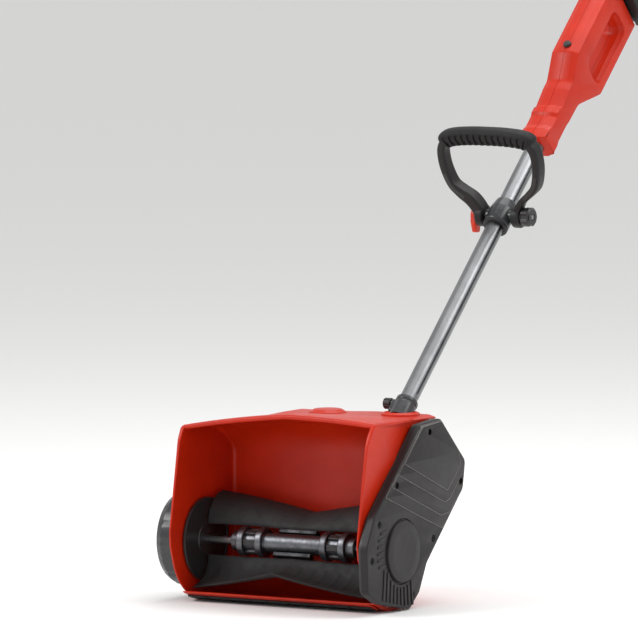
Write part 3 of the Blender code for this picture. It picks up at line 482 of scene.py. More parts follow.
def add(tree: bpy.types.NodeTree, kind: str, links: dict, **settings: object) -> bpy.types.Node:
    """Adds a shader node.

    Args:
        tree: where it goes.
        kind: its type.
        links: input name or number to a value, or to the output socket that feeds it.
        settings: its properties.

    Returns:
        The node.
    """
    node = tree.nodes.new(kind)
    for name, value in settings.items():
        setattr(node, name, value)
    for key, value in links.items():
        if isinstance(value, bpy.types.NodeSocket):
            tree.links.new(value, node.inputs[key])
        else:
            node.inputs[key].default_value = value
    return node


def noise(tree: bpy.types.NodeTree, place: bpy.types.NodeSocket, scale: float, detail: float,
          **more: float) -> bpy.types.NodeSocket:
    """Adds fractal noise; more holds its Roughness or Distortion. Returns its value socket."""
    return add(tree, "ShaderNodeTexNoise",
               {"Vector": place, "Scale": scale, "Detail": detail, **more}).outputs["Fac"]


def spread(tree: bpy.types.NodeTree, value: bpy.types.NodeSocket, low: float, high: float,
           to_low: float = 0.0, to_high: float = 1.0) -> bpy.types.NodeSocket:
    """Stretches the range low..high of a value to to_low..to_high. Returns the result's socket."""
    links = {"Value": value, "From Min": low, "From Max": high, "To Min": to_low, "To Max": to_high}
    return add(tree, "ShaderNodeMapRange", links).outputs["Result"]


@dataclass(frozen=True)
class Finish:
    """What every finish has: a name, a slot, a colour pair and a gloss."""

    name: str
    slot: Slot
    colour: str
    shade: str
    roughness: float
    ior: float = 1.5
    metallic: float = 0.0
    specular: float = 0.5

    def texture(self, tree: bpy.types.NodeTree, place: bpy.types.NodeSocket) -> tuple:
        """Adds the finish's own nodes.

        Args:
            tree: where they go.
            place: the socket of object coordinates.

        Returns:
            The sockets of colour mix, roughness and bump height, and the bump's depth in metres.
        """
        raise NotImplementedError


@dataclass(frozen=True)
class Moulded(Finish):
    """Plastic or rubber from a steel mould: eroded grain, slow tone changes and rubbed patches."""

    grain_mm: float = 0.9
    depth_mm: float = 0.02
    rub: float = 0.10

    def texture(self, tree: bpy.types.NodeTree, place: bpy.types.NodeSocket) -> tuple:
        """Fine grain for bump, an 80 mm cloud for tone, and rubbed patches that change the gloss."""
        grain = noise(tree, place, 1 / (self.grain_mm * MM), 3.0)
        cloud = noise(tree, place, 12.5, 4.0, Roughness=0.6)
        patch = noise(tree, place, 55.0, 6.0, Roughness=0.7, Distortion=0.6)
        tone = spread(tree, cloud, 0.35, 0.68)
        gloss = spread(tree, patch, 0.35, 0.70, self.roughness - self.rub / 2, self.roughness + self.rub)
        return tone, gloss, grain, self.depth_mm * MM


@dataclass(frozen=True)
class Brushed(Finish):
    """Metal drawn or brushed along one line: long fine scratches that stretch the highlight."""

    line_mm: float = 0.35
    run_mm: float = 60.0
    lean: float = 0.0
    depth_mm: float = 0.006

    def texture(self, tree: bpy.types.NodeTree, place: bpy.types.NodeSocket) -> tuple:
        """Noise stretched along the brushing, for tone, gloss and bump."""
        line, run = self.line_mm * MM, self.run_mm * MM
        links = {"Vector": place, "Rotation": (self.lean, 0.0, 0.0), "Scale": (line, line, run)}
        turned = add(tree, "ShaderNodeMapping", links, vector_type="TEXTURE").outputs["Vector"]
        scratch = noise(tree, turned, 1.0, 4.0)
        smear = noise(tree, place, 26.0, 3.0)
        both = add(tree, "ShaderNodeMath", {0: scratch, 1: smear}, operation="MULTIPLY")
        tone = spread(tree, both.outputs["Value"], 0.15, 0.40)
        gloss = spread(tree, scratch, 0.3, 0.7, self.roughness - 0.05, self.roughness + 0.10)
        return tone, gloss, scratch, self.depth_mm * MM


@dataclass(frozen=True)
class Machined(Finish):
    """Turned, pressed or wound metal: a fine even grit with a few darker stains."""

    grit_mm: float = 0.7
    depth_mm: float = 0.01

    def texture(self, tree: bpy.types.NodeTree, place: bpy.types.NodeSocket) -> tuple:
        """Fine noise for bump and gloss, a coarser one for stains."""
        grit = noise(tree, place, 1 / (self.grit_mm * MM), 2.0)
        stain = noise(tree, place, 90.0, 5.0, Roughness=0.65)
        tone = spread(tree, stain, 0.42, 0.72)
        gloss = spread(tree, stain, 0.3, 0.7, self.roughness - 0.04, self.roughness + 0.12)
        return tone, gloss, grit, self.depth_mm * MM


@functools.cache
def dress(finish: Finish) -> bpy.types.Material:
    """Builds a finish's material once, and returns it.

    Base colour is mixed by tone, roughness comes from gloss, and the normal from bump.

    Args:
        finish: what to build.

    Returns:
        The material.
    """
    material = bpy.data.materials.new(finish.name)
    material.use_nodes = True
    tree = material.node_tree
    shader = tree.nodes["Principled BSDF"]
    place = add(tree, "ShaderNodeTexCoord", {}).outputs["Object"]
    tone, gloss, height, depth = finish.texture(tree, place)
    colours = {0: tone, 6: linear(finish.colour), 7: linear(finish.shade)}
    mix = add(tree, "ShaderNodeMix", colours, data_type="RGBA")
    bump = add(tree, "ShaderNodeBump", {"Height": height, "Strength": 0.6, "Distance": depth})
    tree.links.new(mix.outputs[2], shader.inputs["Base Color"])
    tree.links.new(gloss, shader.inputs["Roughness"])
    tree.links.new(bump.outputs["Normal"], shader.inputs["Normal"])
    shader.inputs["Metallic"].default_value = finish.metallic
    if not finish.metallic:
        shader.inputs["IOR"].default_value = finish.ior
        shader.inputs["Specular IOR Level"].default_value = finish.specular
    material.diffuse_color = linear(finish.colour)
    return material


# ABS, injection moulded and coloured through: satin, with a fine eroded grain that scatters highlights.
RED_ABS = Moulded("Red ABS, moulded", Slot.RED, "#C42707", "#B42005", 0.38,
                  specular=0.30, grain_mm=0.8, depth_mm=0.012, rub=0.08)
# The same ABS in charcoal: the belt case and the battery have a coarser eroded grain.
CHARCOAL_ABS = Moulded("Charcoal ABS, moulded", Slot.CHARCOAL, "#242122", "#1E1B1C", 0.42,
                       specular=0.30, grain_mm=0.9, depth_mm=0.03, rub=0.06)
# Painted highlight along the belt cover's steps: the same ABS, coloured light grey to stand in for the light
# that each step's edge catches.
PAINTED_HIGHLIGHT_ABS = Moulded("Charcoal ABS, painted edge highlight", Slot.CHARCOAL, "#85817F", "#6B6766", 0.24,
                   grain_mm=1.2, depth_mm=0.005)
# Painted shadow: a near-black ring at the foot of each step, standing in for the shade that each step's edge
# casts.
PAINTED_SHADOW_ABS = Moulded("Charcoal ABS, painted step shadow", Slot.CHARCOAL, "#1B191A", "#151314", 0.60,
                      grain_mm=1.2, depth_mm=0.01)
# The belt plate's ABS is left plain, because the cover hides most of it.
PLATE_ABS = Moulded("Charcoal ABS, plain", Slot.CHARCOAL, "#2E2C2D", "#262425", 0.48,
                    grain_mm=1.0, depth_mm=0.03)
# Glass-filled nylon: darker and harder than ABS, slightly mottled by its fibres.
BLACK_NYLON = Moulded("Black nylon, moulded", Slot.NYLON, "#2B2A2B", "#232223", 0.40,
                      grain_mm=0.7, depth_mm=0.025)
# Glossier nylon of the caps and collars, polished in the mould.
GLOSS_NYLON = Moulded("Black nylon, polished", Slot.NYLON, "#37383A", "#2C2D2F", 0.24,
                      grain_mm=1.2, depth_mm=0.006)
# Nylon of the loop handle: matt, a little greyer where hands rub it.
BAIL_NYLON = Moulded("Glass-filled nylon, moulded", Slot.NYLON, "#232122", "#1C1A1B", 0.46,
                     specular=0.30, grain_mm=0.9, depth_mm=0.04, rub=0.10)
# The clamp's lower ring, a plain black moulding.
RING_NYLON = Moulded("Black nylon, matt", Slot.NYLON, "#161516", "#100F10", 0.55,
                     grain_mm=0.9, depth_mm=0.03)
# Moulded rubber: no gloss to speak of, a coarse matt surface.
BLACK_RUBBER = Moulded("Black rubber, moulded", Slot.RUBBER, "#1F1E1F", "#171617", 0.70,
                       grain_mm=1.1, depth_mm=0.05, ior=1.52, rub=0.15)
# Soft rubber of the grips: dark in its slots, matt all over.
GRIP_RUBBER = Moulded("Thermoplastic rubber, moulded", Slot.RUBBER, "#1F1D1E", "#161415", 0.62,
                      specular=0.30, grain_mm=1.0, depth_mm=0.05)
# Bright red ABS of the lever and the latch, polished in the mould.
LEVER_ABS = Moulded("Red ABS, polished", Slot.LEVER, "#D63A1C", "#C52D12", 0.26,
                    grain_mm=1.2, depth_mm=0.006)
# Anodised aluminium tube, drawn and brushed along its length.
TUBE_METAL = Brushed("Aluminium, brushed and anodised", Slot.TUBE, "#8E8F91", "#7A7B7D", 0.33,
                     metallic=1.0, lean=math.radians(43.0 - 90.0))
# Zinc-plated steel, turned or pressed.
STEEL = Machined("Steel, turned and zinc plated", Slot.STEEL, "#A9ABAE", "#85878A", 0.30, metallic=1.0)
# Darker steel of the hub, phosphated.
HUB_STEEL = Machined("Steel, phosphated", Slot.STEEL, "#6E6F73", "#55565A", 0.36, metallic=1.0)
# Blackened steel of the screw heads and the paddles' brackets.
DARK_STEEL = Machined("Steel, blackened", Slot.STEEL, "#3A3A3C", "#2A2A2C", 0.38, metallic=1.0)
# Enamelled wire of the armature's windings.
COPPER = Machined("Copper wire, enamelled", Slot.COPPER, "#B5683A", "#8E4A24", 0.35,
                  metallic=1.0, grit_mm=0.5)
# Green laminate of the control board.
BOARD = Moulded("Glass-epoxy laminate", Slot.BOARD, "#1F5C36", "#17492A", 0.35,
                grain_mm=1.0, depth_mm=0.01)
# Shrunk sleeves round the battery's cells.
SLEEVE = Moulded("PVC cell sleeve", Slot.CELLS, "#2F6F9E", "#275F88", 0.30,
                 grain_mm=1.5, depth_mm=0.01)


# ---------------------------------------------------------------- scoop
@dataclass
class Scoop:
    """Red scoop: curved sheet, two side walls, deck hump, lip with its scraper, and the free end's cap."""

    half: float = 0.150
    outer: float = 0.156
    trough: float = 0.079
    skin: float = 0.003
    deck: float = 0.177
    crown: float = 0.0068
    front: float = -0.050
    rear: float = 0.118
    hood: float = 0.060
    hood_centre: tuple = (0.019, 0.110)
    wall_top: float = 0.1768
    lip_angle: float = -119.2
    dip: float = 0.0025
    cover_dip: float = 0.0035
    fall_front: float = 0.0163
    fall_rear: float = 0.022
    ridge_start: tuple = (-0.048, 0.1766)
    ridge_end: tuple = (-0.002, 0.125)
    slope_above: float = 0.105
    slope_below: float = 0.050

    def section(self) -> Array:
        """Closed cross-section of the curved sheet without its crown: deck, back, trough and lip.

        Returns:
            Array of points (y, z).
        """
        under = self.deck - 0.005
        back = self.trough + self.skin
        deck = rounded([(self.front, 0.169, 0), (self.front, self.deck, 0.0034),
                        (self.rear, self.deck, 0.0012), (self.rear, under, 0.0012), (0.034, under, 0)],
                       5, closed=False)[1:]
        stretched = np.concatenate([deck[:6], np.column_stack([np.linspace(-0.044, 0.110, 24),
                                                               np.full(24, self.deck)]), deck[6:]])
        outside = [stretched, arc(self.hood_centre, self.hood + self.skin, 76, 0, 16),
                   arc((0, 0), back, 0, -60, 18),
                   np.array([(0.022, -AXLE_Z + 0.0002), (-0.0112, -AXLE_Z + 0.0002)]),
                   arc((0, 0), back, -99, self.lip_angle, 8)]
        lip = math.radians(self.lip_angle)
        middle = (self.trough + self.skin / 2) * np.array([math.cos(lip), math.sin(lip)])
        nose = arc(middle, self.skin / 2, self.lip_angle, self.lip_angle - 180, 8)[1:-1]
        inside = [nose, arc((0, 0), self.trough, self.lip_angle, 0, 40),
                  arc(self.hood_centre, self.hood, 0, 90, 24),
                  np.column_stack([np.linspace(0.012, -0.042, 14), np.full(14, 0.170)]),
                  arc((self.front + 0.0034, 0.1734), 0.0034, 270, 190, 5)]
        return np.concatenate(outside + inside)

    def lift(self, points: Array) -> Array:
        """Adds the crown of the hood and takes off its fall towards the free end and the rear.

        dz = crown * (1 - |x / outer|^2.2) * front * top - fall(x, y) * top - dip * rear * top, where fall
        grows evenly with -x and each of front, rear and top runs from 0 to 1.

        Args:
            points: shape (..., 3).

        Returns:
            Array of moved points, same shape.
        """
        x, y, z = points[..., 0], points[..., 1], points[..., 2]
        near = np.clip((0.055 - y) / 0.085, 0, 1) * smoothstep((z - 0.148) / 0.020)
        rise = self.crown * (1 - np.minimum(np.abs(x / self.outer), 1) ** 2.2) * near
        front = self.fall_front * np.clip((0.010 - x) / 0.166, 0, 1)
        rear = self.fall_rear * np.clip((-0.062 - x) / 0.094, 0, 1)
        drop = front + (rear - front) * smoothstep((y - 0.026) / 0.050)
        drop = drop * np.clip((z - 0.110) / 0.055, 0, 1)
        sag = self.dip * np.clip((0.060 - x) / 0.060, 0, 1) * smoothstep((y - 0.015) / 0.07)
        sag += self.cover_dip * np.clip((x - 0.1415) / 0.0125, 0, 1) * smoothstep((y - 0.046) / 0.016)
        return np.stack([x, y, z + rise - drop - sag * smoothstep((z - 0.1722) / 0.004)], axis=-1)

    def wall_outline(self, side: int) -> Array:
        """Side view of a wall: leaning front edge, round bottom, flat sole, deck on top.

        Args:
            side: -1 for the free end, 1 for the belt's end.

        Returns:
            Array of points (y, z).
        """
        reach = self.trough + self.skin
        if side < 0:
            top = self.wall_top - self.fall_front
            rear_top = self.wall_top - self.fall_rear - self.dip
            front = rounded([(0.030, top - self.dip, 0), (self.front, top, 0.010), (-0.0608, 0.143, 0.030),
                             (-0.0866, 0.016, 0.040), (-0.0850, -0.004, 0.020), (-0.077, -0.028, 0)], 8,
                            closed=False)[1:]
            line = [arc((0, 0), reach - 0.0002, 201, 262, 30), [(-0.0108, -AXLE_Z + 0.0003)],
                    [(0.0216, -AXLE_Z + 0.0003)], arc((0, 0), reach - 0.0003, -58, 0, 24),
                    [(reach - 0.0003, 0.110), (0.096, 0.130), (0.1035, rear_top), (0.074, rear_top)],
                    np.linspace((0.060, rear_top), (-0.034, top - 0.0002), 14)]
            return np.concatenate([front] + [np.array(part) for part in line])
        front = rounded([(0.104, 0.174, 0), (self.front, self.wall_top, 0.0022), (-0.0665, 0.158, 0.060),
                         (-0.0912, 0.016, 0.050), (-0.0885, -0.004, 0.020), (-0.078, -0.026, 0)], 8,
                        closed=False)[1:]
        bottom = arc((0, 0), reach - 0.0002, 200, 262, 30)
        sole = np.array([(-0.0108, -AXLE_Z + 0.0003), (0.0216, -AXLE_Z + 0.0003)])
        y = np.linspace(0.1035, -0.044, 40)
        top = np.column_stack([y, self.wall_top - self.cover_dip * smoothstep((y - 0.046) / 0.016)])
        rear = [arc((0, 0), reach - 0.0003, -58, 0, 24),
                np.array([(reach - 0.0003, 0.110), (0.103, 0.152)])]
        return np.concatenate([front, bottom, sole] + rear + [top])

    def facets(self, side: int) -> Warp:
        """Warp that gives a wall's outside two facets meeting in a ridge.

        Loss of thickness = slope * distance from the ridge, with one slope above it and one below.

        Args:
            side: -1 for the free end, 1 for the belt's end.

        Returns:
            The warp.
        """
        start, end = np.array(self.ridge_start), np.array(self.ridge_end)
        run = (end - start) / np.linalg.norm(end - start)
        normal = np.array([-run[1], run[0]])

        def warp(points: Array) -> Array:
            """Moves points inwards by the facet's loss, in step with their share of the wall."""
            away = (points[..., 1:] - start) @ normal
            loss = np.where(away > 0, np.minimum(self.slope_above * away, 0.0048),
                            np.minimum(-self.slope_below * away, 0.0036))
            share = (np.abs(points[..., 0]) - self.half) / (self.outer - self.half)
            x = points[..., 0] - side * loss * np.clip(share, 0, 1)
            return np.stack([x, points[..., 1], points[..., 2]], axis=-1)

        return warp

    def build_shell(self) -> None:
        """Sheet, walls, deck edge strips and hump in one piece."""
        skin = Skin()
        section = self.section()
        x = np.linspace(-self.half - 0.002, self.half + 0.002, 97)[:, None]
        grid = np.stack([np.repeat(x, len(section), axis=1), np.repeat(section[None, :, 0], len(x), axis=0),
                         np.repeat(section[None, :, 1], len(x), axis=0)], axis=-1)
        numbers = skin.grid(self.lift(grid))
        skin.lid(numbers[0])
        skin.lid(numbers[-1])
        for side in (-1, 1):
            levels = rim(side * (self.half - 0.0004), side * self.outer, 0.0010, 0.0016)
            skin.slab(self.wall_outline(side), levels, warp=self.facets(side), rings=48)
            self.add_fillet(skin, side)
        edge = box((self.front + 0.001, 0.1723), (0.046, 0.1770), (0.0015, 0.001, 0.0014, 0.0014))
        skin.slab(edge, rim(self.half - 0.004, self.outer, 0, 0.0014))
        hump = rounded([(0.171, 0, 0), (0.171, 0.0262, 0), (0.1762, 0.0262, 0.0010),
                        (0.1804, 0.0190, 0.0035), (0.1804, 0, 0)], 6, closed=False)
        skin.on(Bench(UPRIGHT, (0.0, 0.084, AXLE_Z))).lathe(hump, 72)
        skin.build("scoop_shell", RED_ABS, Body.ROOT, ["scoop_housing"])

    def add_fillet(self, skin: Skin, side: int) -> None:
        """Concave quarter-round of 5 mm in the corner between a wall and the sheet, trough to hood.

        Args:
            skin: where it is added.
            side: -1 for the free end, 1 for the belt's end.
        """
        radius = 0.005
        line = np.concatenate([arc((0, 0), self.trough, -117, 0, 48),
                               arc(self.hood_centre, self.hood, 0, 88, 24)])
        normal = np.concatenate([-arc((0, 0), 1.0, -117, 0, 48), -arc((0, 0), 1.0, 0, 88, 24)])
        turn = np.radians(np.linspace(0, 90, 7))
        depth = np.concatenate([radius * (1 - np.sin(turn)), [-0.0010, -0.0010]])
        across = np.concatenate([radius * (1 - np.cos(turn)), [radius, -0.0010]])
        depth, across = np.append(depth, radius), np.append(across, -0.0010)
        x = side * (self.half - 0.0004 - across)
        grid = np.stack([np.broadcast_to(x, (len(line), len(x))),
                         line[:, :1] + normal[:, :1] * depth, line[:, 1:] + normal[:, 1:] * depth], axis=-1)
        numbers = skin.grid(self.lift(grid))
        skin.lid(numbers[0])
        skin.lid(numbers[-1])

    def build_lip(self) -> None:
        """Red carrier under the lip and the rubber scraper that it clamps."""
        skin = Skin()
        carrier = rounded([(-0.0560, -0.0672, 0.001), (-0.0568, -0.0690, 0.001), (-0.0300, -0.0795, 0.001),
                           (-0.0290, -0.0772, 0.0005)])
        skin.slab(carrier, rim(-0.1485, 0.1485, 0.001, 0.001))
        skin.build("scraper_carrier", RED_ABS, Body.ROOT, ["scraper_blade"])
        blade = Skin()
        strip = rounded([(-0.0480, -0.0728, 0.0008), (-0.0470, -0.0757, 0.0008), (-0.0245, -0.0814, 0.0006),
                         (-0.0240, -0.0795, 0.0005)])
        for index in range(9):
            start = -0.146 + 0.0326 * index
            blade.slab(strip, rim(start, start + 0.0312, 0.0006, 0.0006))
        blade.build("scraper_blade_strips", BLACK_RUBBER, Body.ROOT, ["scraper_blade"])

    def build_collar(self) -> None:
        """Steel collar between the wall and the belt plate, round the rotor's bearing."""
        skin = Skin()
        band = box((0.1512, 0.0700), (0.1562, 0.0772), (0, 0, 0.0006, 0.0006), 3)
        skin.lathe(band, 128, ring=True)
        skin.build("bearing_collar", STEEL, Body.ROOT)

    def build_cap(self) -> None:
        """Turned cap over the shaft's free end: flange, cone, rim, dished face and eight shallow ribs."""
        profile = rounded([(-0.1566, 0.055, 0), (-0.1566, 0.0678, 0), (-0.1605, 0.0678, 0.0008),
                           (-0.1615, 0.0655, 0.0008), (-0.1795, 0.0655, 0.004), (-0.1890, 0.0605, 0.0035),
                           (-0.1906, 0.0535, 0.0016), (-0.1880, 0.0500, 0.0015),
                           (-0.1880, 0.0180, 0.0015), (-0.1900, 0.0165, 0.0010), (-0.1900, 0, 0)],
                          6, closed=False)
        closed = np.concatenate([[[-0.1566, 0.0]], profile])
        skin = Skin()
        skin.lathe(closed, 112, ripple=lambda x, a: 0.0016 * smoothstep((np.cos(16 * a) - 0.72) / 0.2)
                   * ((x < -0.163) & (x > -0.186)))
        skin.build("end_cap_moulding", GLOSS_NYLON, Body.ROOT, ["end_cap"])


# ---------------------------------------------------------------- belt case
@dataclass
class BeltCase:
    """Charcoal cover over the belt: terraces above, a raised round boss and cooling ribs below."""

    base: float = 0.1692
    boss: float = 0.043
    step: float = 0.0007
    screws: tuple = ((0.069, 0.158), (-0.017, 0.092), (0.155, 0.083), (-0.062, 0.042), (-0.081, -0.006),
                     (0.083, 0.010), (0.027, -0.062))
    terraces: tuple = (
        ((0.0486, 0.1686, 0.010), (-0.0465, 0.0774, 0.0015), (0.0754, 0.0330, 0.012),
         (0.1065, 0.0220, 0.004), (0.1610, 0.0715, 0.010), (0.1675, 0.1105, 0.010), (0.1015, 0.1726, 0.009)),
        ((0.0488, 0.1679, 0.010), (-0.0306, 0.0906, 0.0015), (0.1011, 0.0402, 0.008),
         (0.1246, 0.0428, 0.008), (0.1605, 0.0735, 0.009), (0.1668, 0.1104, 0.010), (0.1013, 0.1718, 0.009)),
        ((0.0491, 0.1672, 0.010), (-0.0148, 0.1059, 0.0015), (0.1116, 0.0572, 0.008),
         (0.1262, 0.0625, 0.006), (0.1590, 0.0945, 0.008), (0.1660, 0.1102, 0.009), (0.1011, 0.1711, 0.009)),
        ((0.0495, 0.1664, 0.010), (0.0007, 0.1197, 0.0015), (0.1168, 0.0734, 0.004),
         (0.1530, 0.1062, 0.008), (0.1478, 0.1253, 0.006), (0.1008, 0.1703, 0.009)))

    def outline(self, steps: int = 12) -> Array:
        """Slanted pill: round below, chamfered above, with a flat rear lower edge."""
        corners = [(0.048, 0.170, 0.012), (-0.075, 0.052, 0.030), (-0.096, 0.012, 0.030),
                   (-0.092, -0.050, 0.012), (-0.060, -0.067, 0.010), (0.020, -0.0815, 0.010),
                   (0.046, -0.060, 0.008), (0.066, -0.022, 0.010), (0.162, 0.070, 0.014),
                   (0.170, 0.110, 0.012), (0.102, 0.174, 0.010)]
        return inset(rounded(corners, steps), 0.0001)

    def screw_holes(self) -> list:
        """Round openings over the screws."""
        return [arc(spot, 0.0046, 0, 345, 23) for spot in self.screws]

    def build(self) -> None:
        """Cover, its seven screws and the plate behind it."""
        skin = Skin()
        outline = self.outline()
        boss_hole = arc((0, 0), self.boss + 0.0016, 0, 357, 119)
        skin.slab(outline, rim(0.1591, self.base, 0.0, 0.0016, 5), self.screw_holes() + [boss_hole])
        for number, corners in enumerate(self.terraces, 1):
            plate = rounded(corners, 6)
            holes = [arc(spot, 0.0046, 0, 345, 23) for spot in self.screws if self.inside(plate, spot)]
            top = self.base + self.step * number
            skin.slab(plate, rim(self.base - 0.001, top, 0, 0.0005, 3), holes)
        skin.turn([(0.1600, 0, 0), (0.1600, self.boss + 0.0012, 0),
                   (self.base - 0.0012, self.boss + 0.0012, 0.0003),
                   (self.base - 0.0012, self.boss, 0.0003),
                   (self.base + 0.0030, self.boss - 0.0006, 0.0014), (self.base + 0.0034, 0.030, 0.010),
                   (self.base + 0.0030, 0, 0)], 5, 120)
        self.add_ribs(skin)
        skin.build("belt_cover_shell", CHARCOAL_ABS, Body.ROOT, ["belt_cover"], crisp=28)
        self.build_painted_step_light()
        plate = Skin()
        plate.slab(inset(outline, 0.0012), rim(0.1548, 0.1590, 0.0005, 0.0005, 2))
        plate.build("belt_plate_moulding", PLATE_ABS, Body.ROOT, ["belt_plate"])
        for number, spot in enumerate(self.screws, 1):
            self.build_screw(number, spot)

    def build_painted_step_light(self) -> None:
        """Painted highlight: a thin light-grey ring on the edge of each terrace; painted shadow: a
        near-black ring at its foot.
        """
        highlight_ring, shadow_ring = Skin(), Skin()
        for number, corners in enumerate(self.terraces, 1):
            edge = rounded(corners, 8)
            top = self.base + self.step * number
            # Painted highlight: a light-grey ring raised a hair above the terrace's edge.
            highlight_ring.slab(edge, rim(top - 0.0005, top + 0.00012, 0, 0.0002, 2), [inset(edge, 0.00055)])
            foot = top - self.step
            # Painted shadow: a near-black ring on the step below, round the terrace's foot.
            shadow_ring.slab(inset(edge, -0.0007), rim(foot - 0.0004, foot + 0.00006),
                         [inset(edge, 0.0002)])
        highlight_ring.build("belt_cover_painted_highlights", PAINTED_HIGHLIGHT_ABS, Body.ROOT)
        shadow_ring.build("belt_cover_painted_shadows", PAINTED_SHADOW_ABS, Body.ROOT)

    @staticmethod
    def inside(outline: Array, spot: Sequence[float]) -> bool:
        """Whether a spot lies well inside an outline, by its distance and the crossings of a ray.

        Args:
            outline: points (y, z) of a closed line.
            spot: the place (y, z).

        Returns:
            True when it is inside and more than a screw's radius from the line.
        """
        gap = np.min(np.linalg.norm(outline - np.array(spot), axis=1))
        ahead = np.roll(outline, -1, axis=0)
        spans = (outline[:, 1] > spot[1]) != (ahead[:, 1] > spot[1])
        rise = np.where(spans, ahead[:, 1] - outline[:, 1], 1.0)
        cross = outline[:, 0] + (spot[1] - outline[:, 1]) * (ahead[:, 0] - outline[:, 0]) / rise
        return bool(np.sum(spans & (cross > spot[0])) % 2) and gap > 0.0055

    def add_ribs(self, skin: Skin) -> None:
        """Upright ribs under the boss and short slanted ones at its front.

        Args:
            skin: where they are added.
        """
        for index in range(9):
            y = -0.052 + 0.0098 * index
            top = -math.sqrt(max(0.0485 ** 2 - y ** 2, 0.0)) if abs(y) < 0.048 else -0.020
            low = max(-0.062 - 0.20 * (y + 0.060), -0.0755)
            lean = 0.10 * (y + 0.010)
            bar = rounded([(y - 0.0024 - lean, top - 0.001, 0.001), (y + 0.0024 - lean, top - 0.001, 0.001),
                           (y + 0.0022, low, 0.0016), (y - 0.0022, low, 0.0016)], 4)
            skin.slab(bar, rim(self.base - 0.001, self.base + 0.0013, 0, 0.0006, 3))
        for index in range(6):
            z = 0.0270 - 0.0092 * index
            near = -math.sqrt(0.0490 ** 2 - z ** 2)
            bar = rounded([(near - 0.0185, z + 0.004, 0.001), (near - 0.001, z + 0.0065, 0.001),
                           (near - 0.001, z + 0.0020, 0.001), (near - 0.0185, z, 0.001)], 4)
            skin.slab(bar, rim(self.base - 0.001, self.base + 0.0010, 0, 0.0005, 3))

    def build_screw(self, number: int, spot: Sequence[float]) -> None:
        """Domed screw head with a six-lobed socket, down in its counterbore.

        Args:
            number: the screw's number.
            spot: its place (y, z).
        """
        low, top = 0.1569, 0.1684
        head = rounded([(low, 0, 0), (low, 0.0018, 0), (0.1656, 0.0018, 0), (0.1656, 0.0040, 0.0002),
                        (top - 0.0006, 0.0040, 0.0008), (top, 0.0022, 0.0004),
                        (top - 0.0016, 0.0020, 0.0001), (top - 0.0016, 0, 0)], 3, closed=False)
        skin = Skin()
        skin.lathe(head, 36, spot, lambda x, a: 0.00028 * np.cos(6 * a) * (x > top - 0.0017))
        skin.build(f"cover_screw_head_{number}", DARK_STEEL, Body.ROOT, [f"cover_screw_{number}"])


